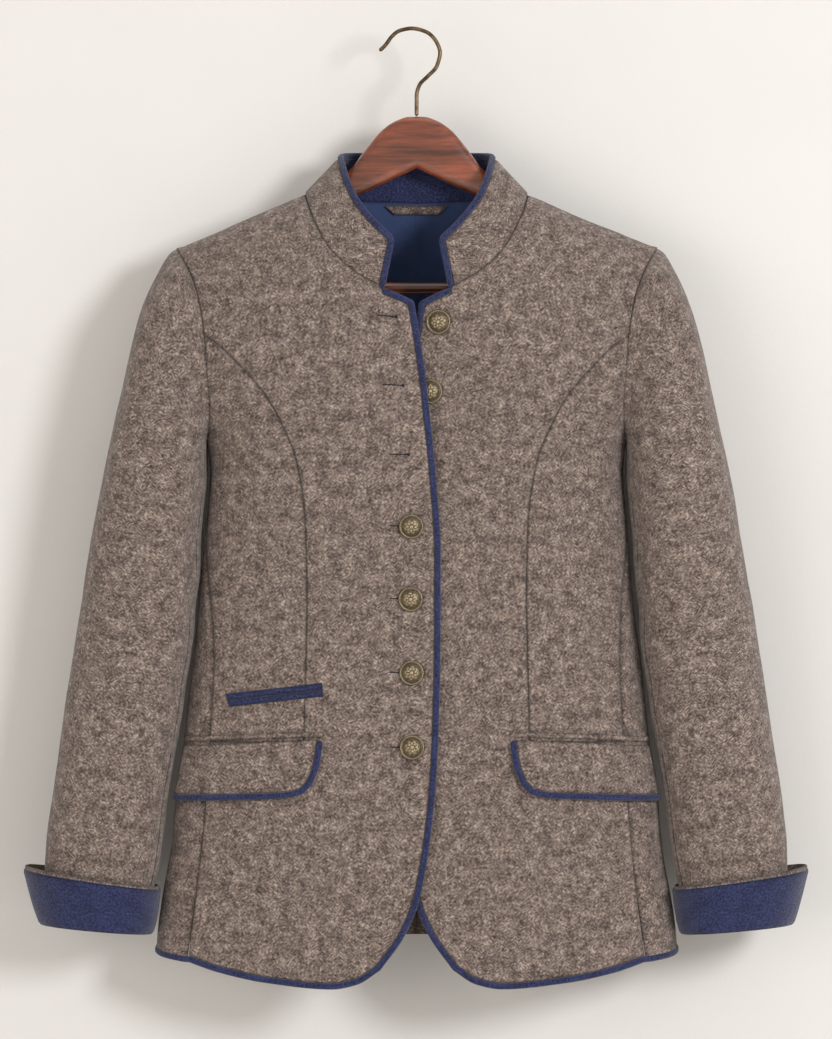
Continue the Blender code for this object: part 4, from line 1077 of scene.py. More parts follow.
# The slanted ticket pocket on the right front side: its ends on the top, middle and bottom lines
WELT_LINES = (
    ((161.7, -566.0), (79.7, -556.4)),
    ((160.3, -571.7), (79.4, -562.2)),
    ((158.8, -577.3), (79.0, -568.0)),
)
WELT_SLIT = 0.1
WELT_THICKNESS = 2.0
WELT_COLUMNS = 64
WELT_ROWS = 8


def ticket_pocket(felt):
    top, middle, foot = (resampled(line, WELT_COLUMNS) for line in WELT_LINES)
    rows = {"upper": (top, middle + (0.0, WELT_SLIT / 2)), "lower": (middle - (0.0, WELT_SLIT / 2), foot)}
    for name, (above, below) in rows.items():
        ends = [resampled((above[end], below[end]), WELT_ROWS) for end in (0, -1)]
        grid = coons(*[on_body(line, -1) for line in (above, below, *ends)])
        cloth(
            f"felt_welt_{name}", [grid], body_placer(body_point), BODY_FLAT, felt, f"pocket_welt_{name}",
            slot="felt", outside=WELT_THICKNESS + GAP, thickness=WELT_THICKNESS, crease=0.9,
            held="folded", rests_on=["wool_front_side_right"],
        )


# The hanger loop inside the back neck
LOOP_TOP = ((-27.5, -147.2), (27.0, -147.2))
LOOP_FOOT = ((-19.5, -154.6), (19.5, -154.6))
LOOP_THICKNESS = 1.6
LOOP_GAP = 1.0
LOOP_COLUMNS = 40
LOOP_ROWS = 8


def loop_flat(values):
    return body_point(*values.T)[:, [0, 2]] * MM


def neck_loop(wool):
    def line(ends):
        across = resampled(ends, LOOP_COLUMNS)
        places = body_places(np.abs(across) * (1.0, -1.0), behind=True)
        angles = np.where(across[:, 0] > 0, places[:, 0], 2 * math.pi - places[:, 0])
        return np.column_stack([angles, places[:, 1]])

    top, foot = line(LOOP_TOP), line(LOOP_FOOT)
    grid = coons(top, foot, *[np.linspace(top[end], foot[end], LOOP_ROWS + 1) for end in (0, -1)])
    cloth(
        "wool_neck_loop", [grid], body_placer(body_point), loop_flat, wool, "neck_loop", slot="wool",
        outside=-(WOOL + LINING_GAP + LINING + LOOP_GAP), thickness=LOOP_THICKNESS, crease=0.5,
        held="folded", rests_on=["lining_back_right", "lining_back_left"],
    )


# Buttons: distance from the centre line, positive to the wearer's left, height, and the front each sits on
BUTTONS = (
    (19.0, -251.0, 1), (11.5, -310.0, 1), (4.0, -367.0, 1),
    (-4.4, -424.0, -1), (-5.0, -485.5, -1), (-4.2, -548.0, -1), (-3.8, -611.0, -1),
)
# A button's face from its crown to its edge, and its back down the shank: radius and height
BUTTON_FACE = (
    (0.0, 5.3), (3.6, 5.1), (6.6, 4.2), (8.6, 2.75), (9.1, 2.75), (9.9, 3.2), (10.6, 2.9), (11.0, 2.1),
)
BUTTON_BACK = ((10.2, 1.1), (2.6, 0.9), (2.6, 0.0), (0.0, 0.0))
BUTTON_STEPS = 120
BUTTON_FACE_RINGS = 44
BUTTON_SEAT = 0.7
BUTTON_SHARE = 0.96
BUTTON_RADIUS = 11.0
# Above this height is the face, which has the ornament
BUTTON_FACE_Z = 2.0
# The rim, which is worn bright: its strength, radius and reach
BUTTON_RIM = (0.3, 10.0, 0.6)
# The rings of the rosette, each with its height, radius and reach
BOSS_HEIGHT, BOSS_RADIUS, BOSS_EDGE = 0.45, 1.7, 0.5
PETAL_RING = (0.55, 3.5, 1.25)
VEIN_RING = (-0.25, 3.6, 1.0)
LEAF_RING = (0.4, 5.6, 0.8)
BEAD_RING = (0.35, 7.4, 0.55)
ROPE_RING = (0.18, 9.9, 0.5)
BEADS = 28
ROPE_TURNS = 30


def ring(radius, shape):
    height, middle, reach = shape
    return height * bell(radius, middle, reach)


def button_ornament(radius, turn):
    """A plain rosette: a boss, eight petals, a ring of beads and a roped rim."""
    on_petal, between = np.abs(np.cos(4 * turn)), np.abs(np.sin(4 * turn))
    boss = BOSS_HEIGHT * smooth_step((BOSS_RADIUS - radius) / BOSS_EDGE)
    petal = ring(radius, PETAL_RING) * on_petal ** 1.5
    vein = ring(radius, VEIN_RING) * on_petal ** 16
    leaf = ring(radius, LEAF_RING) * between ** 2
    beads = ring(radius, BEAD_RING) * (0.5 + 0.5 * np.cos(BEADS * turn))
    rope = ring(radius, ROPE_RING) * np.cos(ROPE_TURNS * turn + 3 * radius)
    return boss + petal + vein + leaf + beads + rope


def button(number, metal):
    x, z, side = BUTTONS[number - 1]
    point, normal = body_placer(front_surface(side))(body_places([(x, z)]))
    profile = np.concatenate([resampled(BUTTON_FACE, BUTTON_FACE_RINGS), BUTTON_BACK])
    bm = bmesh.new()
    uv = bm.loops.layers.uv.new("relief")
    verts = [bm.verts.new((radius * MM, 0.0, height * MM)) for radius, height in profile]
    for first, second in zip(verts, verts[1:]):
        bm.edges.new((first, second))
    bmesh.ops.spin(
        bm, geom=bm.verts[:] + bm.edges[:], cent=(0, 0, 0), axis=(0, 0, 1),
        angle=2 * math.pi, steps=BUTTON_STEPS, use_merge=True,
    )
    bmesh.ops.remove_doubles(bm, verts=bm.verts[:], dist=FINE_WELD * MM)
    bmesh.ops.recalc_face_normals(bm, faces=bm.faces[:])
    spots = np.array([vert.co for vert in bm.verts]) / MM
    bmesh.ops.scale(bm, vec=(BUTTON_SHARE, BUTTON_SHARE, 1.0), verts=bm.verts[:])
    radius, turn = np.hypot(spots[:, 0], spots[:, 1]), np.arctan2(spots[:, 1], spots[:, 0])
    raised = np.where(spots[:, 2] > BUTTON_FACE_Z, button_ornament(radius, turn + number), 0.0)
    heights = {}
    for vert, lift, away, rim in zip(bm.verts, raised, radius, ring(radius, BUTTON_RIM)):
        vert.co.z += lift * MM
        heights[vert] = (away / BUTTON_RADIUS, 0.5 + lift + rim)
    for face in bm.faces:
        for loop in face.loops:
            loop[uv].uv = heights[loop.vert]
    turned = Vector(normal[0]).to_track_quat("Z", "Y").to_matrix().to_4x4()
    turned.translation = Vector((point[0] + BUTTON_SEAT * normal[0]) * MM)
    bmesh.ops.transform(bm, matrix=turned, verts=bm.verts[:])
    finish_object(f"brass_button_{number}", bm, metal, f"button_{number}", slot="buttons")


# Buttonholes on the right front: distance from the centre line at their ends, and height
BUTTONHOLES = (
    (33.7, 16.0, -246.0, -247.6), (28.9, 9.9, -304.4, -305.4), (23.5, 5.4, -363.0, -363.6),
    (23.0, 8.0, -423.4, -424.0), (23.0, 8.0, -485.0, -485.5), (23.0, 8.0, -547.5, -548.0),
    (23.0, 8.0, -610.5, -611.0),
)
HOLE_STEPS = 72
HOLE_LIFT = 0.05
HOLE_END_ROWS = 4
# The eye's middle and reach along the hole, and how high a stitch stands out and how many rows it takes
EYE_PLACE = 0.93
EYE_REACH = 0.055
STITCH_HEIGHT = 0.12
STITCH_ROWS = 3
# The bar's half width and half height, what the eye adds to each and each one's share of the stitches
HOLE_WIDTH, EYE_WIDTH, STITCH_WIDTH_SHARE = 0.52, 1.0, 0.4
HOLE_HEIGHT, EYE_HEIGHT, STITCH_HEIGHT_SHARE = 0.42, 0.12, 0.3


def buttonhole(number, thread):
    """A worked keyhole: a stitched bar that widens to an eye at its front end."""
    away, near, start_z, end_z = BUTTONHOLES[number - 1]
    line = np.linspace((away, start_z), (near, end_z), HOLE_STEPS + 1)
    share = np.linspace(0.0, 1.0, HOLE_STEPS + 1)
    eye = bell(share, EYE_PLACE, EYE_REACH)
    stitch = STITCH_HEIGHT * np.cos(np.arange(HOLE_STEPS + 1) * 2 * math.pi / STITCH_ROWS)
    values = np.column_stack([on_body(line, -1), np.full(len(line), HOLE_LIFT)])
    points, normals = body_placer(body_point)(values)
    end = round_ends(len(line), 1.0, HOLE_END_ROWS)
    width = end * (HOLE_WIDTH + EYE_WIDTH * eye) + stitch * STITCH_WIDTH_SHARE
    height = end * (HOLE_HEIGHT + EYE_HEIGHT * eye) + stitch * STITCH_HEIGHT_SHARE
    swept(f"thread_buttonhole_{number}", points, normals, width, height, thread, slot="felt", sides=12)


# The wooden hanger: distance from its middle, height of the middle line, half height and half depth
ARM_SECTIONS = (
    (0.0, -95.8, 22.2, 6.5),
    (10.0, -98.6, 24.2, 6.6),
    (20.0, -103.0, 24.5, 6.7),
    (30.0, -109.0, 23.3, 6.8),
    (45.0, -121.4, 17.8, 7.0),
    (57.0, -131.5, 12.6, 7.2),
    (80.0, -148.3, 10.2, 7.0),
    (95.0, -157.8, 10.2, 7.6),
    (112.0, -165.6, 10.5, 8.0),
    (138.0, -181.2, 14.0, 7.5),
    (160.0, -198.4, 18.5, 8.5),
    (170.0, -206.0, 24.5, 9.0),
    (181.0, -206.8, 23.0, 9.5),
    (187.5, -208.2, 16.6, 7.2),
    (190.5, -210.0, 8.0, 4.0),
)
ARM_POWER = 2.6
ARM_RINGS = 150
ARM_SIDES = 48
BAR_Z = -220.6
BAR_RADIUS = 5.0
BAR_HALF_LENGTH = 174.0
BAR_RINGS = 60
BAR_SIDES = 32
HOOK_WIRE_RADIUS = 1.7
HOOK_RINGS = 220
HOOK_SIDES = 20
HOOK_END_ROWS = 3
HOOK_ROUTE = (
    (-27.7, -17.5), (-24.4, -14.6), (-20.9, -10.6), (-17.0, -5.2), (-10.2, -0.2), (0.0, 1.7),
    (11.6, -0.9), (20.4, -8.6), (24.2, -19.0), (21.5, -30.4), (13.4, -39.6), (6.8, -46.5), (4.2, -56.0),
    (4.2, -73.2),
)


def hanger_arm(side, wood):
    away = np.linspace(0.0, ARM_SECTIONS[-1][0], ARM_RINGS)
    middle, half_height, half_depth = smooth_table(ARM_SECTIONS, away)
    path = np.stack([side * away, np.zeros(len(away)), middle], axis=1) + JACKET_CENTRE
    behind, up = np.tile([[0.0, 1.0, 0.0]], (len(away), 1)), np.tile([[0.0, 0.0, 1.0]], (len(away), 1))
    name = half_name(side)
    bar(
        f"wood_arm_{name}", path, half_depth, half_height, behind, up, wood, f"hanger_arm_{name}",
        slot="hanger_wood", sides=ARM_SIDES, power=ARM_POWER,
    )


def hanger_bar(wood):
    path = np.array([(x, 0.0, BAR_Z) for x in np.linspace(-BAR_HALF_LENGTH, BAR_HALF_LENGTH, BAR_RINGS)])
    ups = np.tile([0.0, 0.0, 1.0], (len(path), 1))
    swept(
        "wood_bar", path + JACKET_CENTRE, ups, BAR_RADIUS, BAR_RADIUS, wood, "hanger_bar",
        slot="hanger_wood", sides=BAR_SIDES,
    )


def hanger_hook(bronze):
    route = resampled(HOOK_ROUTE, HOOK_RINGS)
    path = np.stack([route[:, 0], np.zeros(len(route)), route[:, 1]], axis=1)
    ups = np.tile([0.0, -1.0, 0.0], (len(path), 1))
    radius = round_ends(len(path), HOOK_WIRE_RADIUS, HOOK_END_ROWS)
    swept("bronze_hook", path, ups, radius, radius, bronze, "hanger_hook", slot="hook", sides=HOOK_SIDES)


# Materials


def add_node(tree, kind, inputs=None, **settings):
    """A shader node with its settings, and its inputs linked or set by name or number."""
    made = tree.nodes.new(f"ShaderNode{kind}")
    for name, value in settings.items():
        setattr(made, name, value)
    for name, value in (inputs or {}).items():
        if isinstance(value, bpy.types.NodeSocket):
            tree.links.new(value, made.inputs[name])
        else:
            made.inputs[name].default_value = value
    return made


def new_finish(name, roughness, metallic=0.0, **sockets):
    """A material with its constants set on the shader's own sockets."""
    material = bpy.data.materials.new(name)
    material.use_nodes = True
    shader = material.node_tree.nodes["Principled BSDF"]
    shader.inputs["Roughness"].default_value = roughness
    shader.inputs["Metallic"].default_value = metallic
    for socket, value in sockets.items():
        shader.inputs[socket.replace("_", " ")].default_value = value
    return material, material.node_tree, shader


def maths(tree, operation, first, second=0.0):
    return add_node(tree, "Math", {0: first, 1: second}, operation=operation).outputs[0]


def scaled(tree, vector, scale, turn=0.0):
    """The coordinates turned about their third axis and then scaled."""
    if turn:
        rotation = (0.0, 0.0, math.radians(turn))
        vector = add_node(tree, "Mapping", {"Vector": vector, "Rotation": rotation}).outputs[0]
    return add_node(tree, "Mapping", {"Vector": vector, "Scale": scale}).outputs[0]


def noise_of(tree, vector, scale, detail=2.0, roughness=0.5):
    inputs = {"Vector": vector, "Scale": scale, "Detail": detail, "Roughness": roughness}
    return add_node(tree, "TexNoise", inputs).outputs[0]


def mix_value(tree, factor, first, second):
    inputs = {0: factor, 2: first, 3: second}
    return add_node(tree, "Mix", inputs, data_type="FLOAT").outputs[0]


def colour_ramp(tree, factor, stops):
    ramp = add_node(tree, "ValToRGB", {0: factor})
    elements = ramp.color_ramp.elements
    while len(elements) < len(stops):
        elements.new(0.5)
    for element, (place, colour) in zip(elements, stops):
        element.position = place
        element.color = (*colour, 1.0)
    return ramp.outputs[0]


def add_bump(tree, shader, height, distance, strength=1.0, over=None):
    inputs = {"Height": height, "Distance": distance, "Strength": strength}
    if over:
        inputs["Normal"] = over
    normal = add_node(tree, "Bump", inputs).outputs[0]
    tree.links.new(normal, shader.inputs["Normal"])
    return normal


def tone(colour, factor):
    return tuple(min(channel * factor, 1.0) for channel in colour)


def tones(tree, factor, colour, stops):
    """One colour, darker or brighter by the value: each stop has its place and the colour's factor there."""
    return colour_ramp(tree, factor, [(place, tone(colour, share)) for place, share in stops])


def painted_seam_shade(tree, shade, colour, painted_shade_colour):
    """The colour, turned towards a deep one as far as the shade of the seams says: a painted shadow in the
    crease along each rim.
    """
    inputs = {0: shade, 6: colour, 7: (*painted_shade_colour, 1.0)}
    return add_node(tree, "Mix", inputs, data_type="RGBA").outputs[2]


def colour_with(tree, shader, colour):
    tree.links.new(colour, shader.inputs["Base Color"])


def wool_finish():
    """Milled wool: a melange of light and dark fibres that lie in short slanting strokes, with a soft nap."""
    colours = bpy.context.scene.jacket_colours
    material, tree, shader = new_finish(
        "milled_wool", 0.95, Sheen_Weight=0.22, Sheen_Roughness=0.45, Specular_IOR_Level=0.15
    )
    uv = add_node(tree, "TexCoord").outputs["UV"]
    up_strokes = noise_of(tree, scaled(tree, uv, (980.0, 270.0, 1.0), 48.0), 1.0, 2.0, 0.6)
    down_strokes = noise_of(tree, scaled(tree, uv, (980.0, 270.0, 1.0), -48.0), 1.0, 2.0, 0.6)
    turn = maths(tree, "MULTIPLY", maths(tree, "SUBTRACT", noise_of(tree, uv, 180.0, 1.0), 0.46), 10.0)
    side_of = add_node(tree, "Clamp", {0: turn}).outputs[0]
    strokes = mix_value(tree, side_of, up_strokes, down_strokes)
    fleck = noise_of(tree, uv, 500.0, 3.0, 0.7)
    cloud = noise_of(tree, uv, 95.0, 4.0, 0.7)
    melange = mix_value(tree, 0.30, strokes, fleck)
    melange = mix_value(tree, 0.29, melange, cloud)
    mid, dark, light = tuple(colours.wool), tuple(colours.wool_dark), tuple(colours.wool_light)
    colour = colour_ramp(tree, melange, (
        (0.40, dark), (0.46, tone(mid, 0.58)), (0.50, mid), (0.54, tone(mid, 1.42)), (0.605, light),
    ))
    # Painted shade: the wool turns darker along its rims, where the "seam" layer says, for the shadow in the
    # crease of each seam
    seam = add_node(tree, "Attribute", attribute_name="seam").outputs["Fac"]
    shade = maths(tree, "MULTIPLY", maths(tree, "POWER", seam, 1.5), 0.68)
    colour_with(tree, shader, painted_seam_shade(tree, shade, colour, tone(dark, 0.4)))
    fibres = noise_of(tree, uv, 2400.0, 2.0, 0.6)
    height = mix_value(tree, 0.3, melange, fibres)
    add_bump(tree, shader, height, 0.0028, 0.75)
    return material


def felt_finish():
    """Blue wool felt: close, matt and slightly uneven."""
    colours = bpy.context.scene.jacket_colours
    material, tree, shader = new_finish(
        "blue_felt", 0.92, Sheen_Weight=0.3, Sheen_Roughness=0.4, Specular_IOR_Level=0.2
    )
    uv = add_node(tree, "TexCoord").outputs["UV"]
    mottle = mix_value(tree, 0.18, noise_of(tree, uv, 520.0, 4.0, 0.7), noise_of(tree, uv, 60.0, 2.0))
    colour = tones(tree, mottle, colours.felt, ((0.40, 0.45), (0.5, 1.0), (0.60, 1.75)))
    # Painted shade: the felt turns darker along its rims, more weakly than the wool, for the shadow in its
    # seams and in the welts' slit
    seam = add_node(tree, "Attribute", attribute_name="seam").outputs["Fac"]
    shade = maths(tree, "MULTIPLY", seam, 0.6)
    colour_with(tree, shader, painted_seam_shade(tree, shade, colour, tone(colours.felt, 0.1)))
    add_bump(tree, shader, noise_of(tree, uv, 900.0, 3.0, 0.7), 0.0012, 0.9)
    return material


def lining_finish():
    """Smooth lining with a fine twill."""
    colours = bpy.context.scene.jacket_colours
    material, tree, shader = new_finish("blue_lining", 0.8, Specular_IOR_Level=0.2, Sheen_Weight=0.1)
    uv = add_node(tree, "TexCoord").outputs["UV"]
    ribs = scaled(tree, uv, (900.0, 900.0, 1.0), 45.0)
    twill = add_node(tree, "TexWave", {"Vector": ribs, "Scale": 1.0, "Distortion": 1.0}).outputs["Fac"]
    shade = mix_value(tree, 0.6, twill, noise_of(tree, uv, 35.0, 3.0))
    colour_with(tree, shader, tones(tree, shade, colours.lining, ((0.2, 0.7), (0.8, 1.3))))
    add_bump(tree, shader, shade, 0.0006, 0.5)
    return material


def thread_finish():
    material, tree, shader = new_finish("navy_thread", 0.7, Specular_IOR_Level=0.3)
    colours = bpy.context.scene.jacket_colours
    uv = add_node(tree, "TexCoord").outputs["UV"]
    strands = noise_of(tree, scaled(tree, uv, (300.0, 2600.0, 1.0)), 1.0, 2.0)
    colour_with(tree, shader, tones(tree, strands, colours.thread, ((0.35, 0.5), (0.65, 2.2))))
    add_bump(tree, shader, strands, 0.0005, 0.8)
    return material


def brass_finish():
    """Aged brass: worn bright on what stands up and dark brown in the hollows."""
    colours = bpy.context.scene.jacket_colours
    material, tree, shader = new_finish("aged_brass", 0.42, metallic=0.85)
    coordinates = add_node(tree, "TexCoord")
    relief = add_node(tree, "SeparateXYZ", {0: coordinates.outputs["UV"]}).outputs[1]
    spots = noise_of(tree, coordinates.outputs["Object"], 900.0, 4.0, 0.7)
    wear = maths(tree, "ADD", relief, maths(tree, "MULTIPLY", maths(tree, "SUBTRACT", spots, 0.5), 0.7))
    colour_with(tree, shader, tones(tree, wear, colours.brass, ((0.42, 0.16), (0.62, 0.6), (0.95, 1.5))))
    rough = maths(tree, "ADD", maths(tree, "MULTIPLY", spots, 0.35), 0.22)
    tree.links.new(rough, shader.inputs["Roughness"])
    add_bump(tree, shader, spots, 0.0004, 0.6)
    return material


def wood_finish():
    """Varnished mahogany with its grain along the arms."""
    colours = bpy.context.scene.jacket_colours
    material, tree, shader = new_finish("varnished_mahogany", 0.32, Coat_Weight=1.0, Coat_Roughness=0.07)
    place = add_node(tree, "TexCoord").outputs["Object"]
    streaks = noise_of(tree, scaled(tree, place, (14.0, 260.0, 190.0)), 1.0, 5.0, 0.65)
    bands = noise_of(tree, scaled(tree, place, (5.0, 60.0, 45.0)), 1.0, 2.0)
    grain = mix_value(tree, 0.4, streaks, bands)
    colour_with(tree, shader, tones(tree, grain, colours.wood, ((0.36, 0.35), (0.5, 1.0), (0.66, 1.8))))
    add_bump(tree, shader, streaks, 0.0002, 0.5)
    return material


def bronze_finish():
    colours = bpy.context.scene.jacket_colours
    material, tree, shader = new_finish("bronze_wire", 0.36, metallic=0.9)
    place = add_node(tree, "TexCoord").outputs["Object"]
    patina = noise_of(tree, place, 220.0, 4.0, 0.65)
    colour_with(tree, shader, tones(tree, patina, colours.bronze, ((0.36, 0.5), (0.62, 1.5))))
    tree.links.new(maths(tree, "ADD", maths(tree, "MULTIPLY", patina, 0.3), 0.2), shader.inputs["Roughness"])
    return material


FINISHES = {
    "milled_wool": wool_finish, "blue_felt": felt_finish, "blue_lining": lining_finish,
    "navy_thread": thread_finish, "aged_brass": brass_finish, "varnished_mahogany": wood_finish,
    "bronze_wire": bronze_finish,
}


def finish(name):
    """The named material, made the first time that a piece asks for it."""
    return bpy.data.materials.get(name) or FINISHES[name]()


# The stage. Metres from here on
WALL_Y = 0.062
WALL_HALF = 1.15
WALL_TOP = 0.6
FLOOR_Z = -1.3
FLOOR_HALF = 4.0
FLOOR_FRONT_Y = -5.0
FRAME_HEIGHT = 0.8832
FRAME_CENTRE = (0.0037, -0.4183)
SUBJECT_Y = -0.03
LENS = 200.0
SENSOR = 36.0
FARTHEST = 50.0
# Where the lights are turned to, and each one's place, width and colour
LIT_MIDDLE = (0.0, 0.0, -0.42)
LIGHTS = {
    "key": ((1.9, -2.9, 0.35), 0.9, (1.0, 0.99, 0.985)),
    "fill": ((-2.0, -3.0, -0.6), 2.4, (1.0, 0.95, 0.89)),
    "top": ((0.2, -0.9, 2.0), 1.6, (1.0, 0.98, 0.95)),
}
AMBIENT_COLOUR = (1.0, 0.955, 0.89, 1.0)


def stage_finish(name, colour, hide_back):
    material, tree, shader = new_finish(name, 0.9, Specular_IOR_Level=0.2)
    place = add_node(tree, "TexCoord").outputs["Object"]
    patches = noise_of(tree, place, 3.0, 3.0)
    colour_with(tree, shader, tones(tree, patches, colour, ((0.3, 0.97), (0.7, 1.02))))
    add_bump(tree, shader, noise_of(tree, place, 350.0, 4.0, 0.7), 0.0006, 0.25)
    if hide_back:
        clear = add_node(tree, "BsdfTransparent").outputs[0]
        behind = add_node(tree, "NewGeometry").outputs["Backfacing"]
        mixed = add_node(tree, "MixShader", {0: behind, 1: shader.outputs[0], 2: clear})
        tree.links.new(mixed.outputs[0], tree.nodes["Material Output"].inputs["Surface"])
    return material


def stage_sheet(name, low, high, material, upright):
    """A flat sheet of the stage from one corner to the other, the floor level or the wall upright."""
    bm = bmesh.new()
    bmesh.ops.create_grid(bm, x_segments=1, y_segments=1, size=0.5)
    for vert in bm.verts:
        over, along = vert.co.x + 0.5, vert.co.y + 0.5
        x = low[0] + over * (high[0] - low[0])
        if upright:
            vert.co = (x, low[1], low[2] + along * (high[2] - low[2]))
        else:
            vert.co = (x, low[1] + along * (high[1] - low[1]), low[2])
    mesh = bpy.data.meshes.new(name)
    bm.to_mesh(mesh)
    bm.free()
    mesh.materials.append(material)
    obj = bpy.data.objects.new(name, mesh)
    bpy.context.scene.collection.objects.link(obj)


def aim(obj, place, target):
    obj.location = place
    obj.rotation_euler = (Vector(target) - Vector(place)).to_track_quat("-Z", "Y").to_euler()


def area_light(name, place, target, size, power, colour):
    light = bpy.data.lights.new(name, "AREA")
    light.shape = "DISK"
    light.size = size
    light.energy = power
    light.color = colour
    obj = bpy.data.objects.new(name, light)
    bpy.context.scene.collection.objects.link(obj)
    aim(obj, place, target)


def camera():
    data = bpy.data.cameras.new("view")
    data.lens = LENS
    data.sensor_fit = "VERTICAL"
    data.sensor_height = SENSOR
    obj = bpy.data.objects.new("view", data)
    bpy.context.scene.collection.objects.link(obj)
    distance = FRAME_HEIGHT * LENS / SENSOR
    x, z = FRAME_CENTRE
    aim(obj, (x, SUBJECT_Y - distance, z), (x, SUBJECT_Y, z))
    data.clip_end = FARTHEST
    bpy.context.scene.camera = obj


def lights():
    stage = bpy.context.scene.jacket_stage
    powers = (stage.key_power, stage.fill_power, stage.top_power)
    for (name, (place, size, colour)), power in zip(LIGHTS.items(), powers):
        area_light(name, place, LIT_MIDDLE, size, power, colour)
    world = bpy.data.worlds.new("studio")
    world.use_nodes = True
    background = world.node_tree.nodes["Background"]
    background.inputs["Color"].default_value = AMBIENT_COLOUR
    background.inputs["Strength"].default_value = stage.ambient
    bpy.context.scene.world = world
    bpy.context.scene.view_settings.view_transform = "Standard"


# The add-on


class JacketSizes(bpy.types.PropertyGroup):
    """Sizes of the cloth's detail"""

    crease_depth: FloatProperty(
        name="Crease depth", description="How deep the cloth's edge curls into a seam",
        default=0.0015, min=0.0, max=0.002, unit="LENGTH",
    )
    crease_reach: FloatProperty(
        name="Crease reach", description="How far from a seam the cloth starts to curl",
        default=0.0028, min=0.0005, max=0.01, unit="LENGTH",
    )
    swell: FloatProperty(
        name="Swell", description="How far the hanging cloth swells off its plain shape",
        default=0.0016, min=0.0, max=0.004, unit="LENGTH",
    )
    piping_width: FloatProperty(
        name="Piping width", description="Width of the felt edging",
        default=0.0053, min=0.002, max=0.008, unit="LENGTH",
    )
    piping_height: FloatProperty(
        name="Piping height", description="Thickness of the felt edging",
        default=0.0040, min=0.001, max=0.006, unit="LENGTH",
    )


def colour_of(name, description, default):
    return FloatVectorProperty(
        name=name, description=description, default=default, size=3, subtype="COLOR", min=0.0, max=1.0
    )


class JacketColours(bpy.types.PropertyGroup):
    """Colours of the cloth and the fittings"""

    wool: colour_of("Wool", "Middle tone of the melange", (0.190, 0.147, 0.130))
    wool_dark: colour_of("Dark fibres", "Darkest fibres of the melange", (0.055, 0.040, 0.033))
    wool_light: colour_of("Light fibres", "Lightest fibres of the melange", (0.50, 0.42, 0.365))
    felt: colour_of("Felt", "Piping, cuffs, welts and collar facing", (0.027, 0.033, 0.092))
    lining: colour_of("Lining", "Lining of the back", (0.050, 0.080, 0.195))
    thread: colour_of("Thread", "Buttonholes", (0.006, 0.006, 0.012))
    brass: colour_of("Brass", "Buttons where they are worn bright", (0.27, 0.215, 0.14))
    wood: colour_of("Wood", "Hanger", (0.205, 0.050, 0.021))
    bronze: colour_of("Bronze", "Hook", (0.14, 0.095, 0.055))


class JacketStage(bpy.types.PropertyGroup):
    """Light of the stage"""

    key_power: FloatProperty(
        name="Key light", description="Light from the upper right", default=67.0, min=0.0, unit="POWER"
    )
    fill_power: FloatProperty(
        name="Fill light", description="Light from the left", default=36.0, min=0.0, unit="POWER"
    )
    top_power: FloatProperty(
        name="Top light", description="Light from above", default=4.0, min=0.0, unit="POWER"
    )
    ambient: FloatProperty(name="Ambient", description="Light from all round", default=0.52, min=0.0)


class JACKET_OT_stage(bpy.types.Operator):
    """Make the wall, the floor, the lights and the camera"""

    bl_idname = "jacket.stage"
    bl_label = "Stage"

    def execute(self, context):
        camera()
        wall = stage_finish("pale_wall", (0.745, 0.735, 0.722), True)
        floor = stage_finish("pale_floor", (0.78, 0.76, 0.73), False)
        stage_sheet("wall", (-WALL_HALF, WALL_Y, FLOOR_Z), (WALL_HALF, WALL_Y, WALL_TOP), wall, True)
        low, high = (-FLOOR_HALF, FLOOR_FRONT_Y, FLOOR_Z), (FLOOR_HALF, FLOOR_HALF, FLOOR_Z)
        stage_sheet("floor", low, high, floor, False)
        lights()
        return {"FINISHED"}


class JACKET_OT_fronts(bpy.types.Operator):
    """Make the fronts and their side panels"""

    bl_idname = "jacket.fronts"
    bl_label = "Fronts"

    def execute(self, context):
        for side in (-1, 1):
            front(side, finish("milled_wool"))
            front_side(side, finish("milled_wool"))
        return {"FINISHED"}


class JACKET_OT_backs(bpy.types.Operator):
    """Make the backs and their lining"""

    bl_idname = "jacket.backs"
    bl_label = "Backs and lining"

    def execute(self, context):
        for side in (-1, 1):
            back(side, finish("milled_wool"))
            back_lining(side, finish("blue_lining"))
        return {"FINISHED"}


class JACKET_OT_collar(bpy.types.Operator):
    """Make the stand collar, its facing and the hanger loop"""

    bl_idname = "jacket.collar"
    bl_label = "Collar and loop"

    def execute(self, context):
        collar(finish("milled_wool"), finish("blue_felt"))
        neck_loop(finish("milled_wool"))
        return {"FINISHED"}


class JACKET_OT_sleeves(bpy.types.Operator):
    """Make the two-piece sleeves"""

    bl_idname = "jacket.sleeves"
    bl_label = "Sleeves"

    def execute(self, context):
        for side in (-1, 1):
            sleeve(side, finish("milled_wool"))
        return {"FINISHED"}


class JACKET_OT_cuffs(bpy.types.Operator):
    """Make the turned-back cuffs"""

    bl_idname = "jacket.cuffs"
    bl_label = "Cuffs"

    def execute(self, context):
        for side in (-1, 1):
            cuff(side, finish("milled_wool"), finish("blue_felt"))
        return {"FINISHED"}


class JACKET_OT_pockets(bpy.types.Operator):
    """Make the flap pockets and the ticket pocket"""

    bl_idname = "jacket.pockets"
    bl_label = "Pockets"

    def execute(self, context):
        for side in (-1, 1):
            pocket(side, finish("milled_wool"), finish("blue_felt"))
        ticket_pocket(finish("blue_felt"))
        return {"FINISHED"}


class JACKET_OT_piping(bpy.types.Operator):
    """Make the felt edging of the fronts and the collar"""

    bl_idname = "jacket.piping"
    bl_label = "Piping"

    def execute(self, context):
        for side in (-1, 1):
            front_piping(side, finish("blue_felt"))
        collar_piping(finish("blue_felt"))
        return {"FINISHED"}


class JACKET_OT_buttons(bpy.types.Operator):
    """Make the domed metal buttons"""

    bl_idname = "jacket.buttons"
    bl_label = "Buttons"

    def execute(self, context):
        for number in range(1, len(BUTTONS) + 1):
            button(number, finish("aged_brass"))
        return {"FINISHED"}


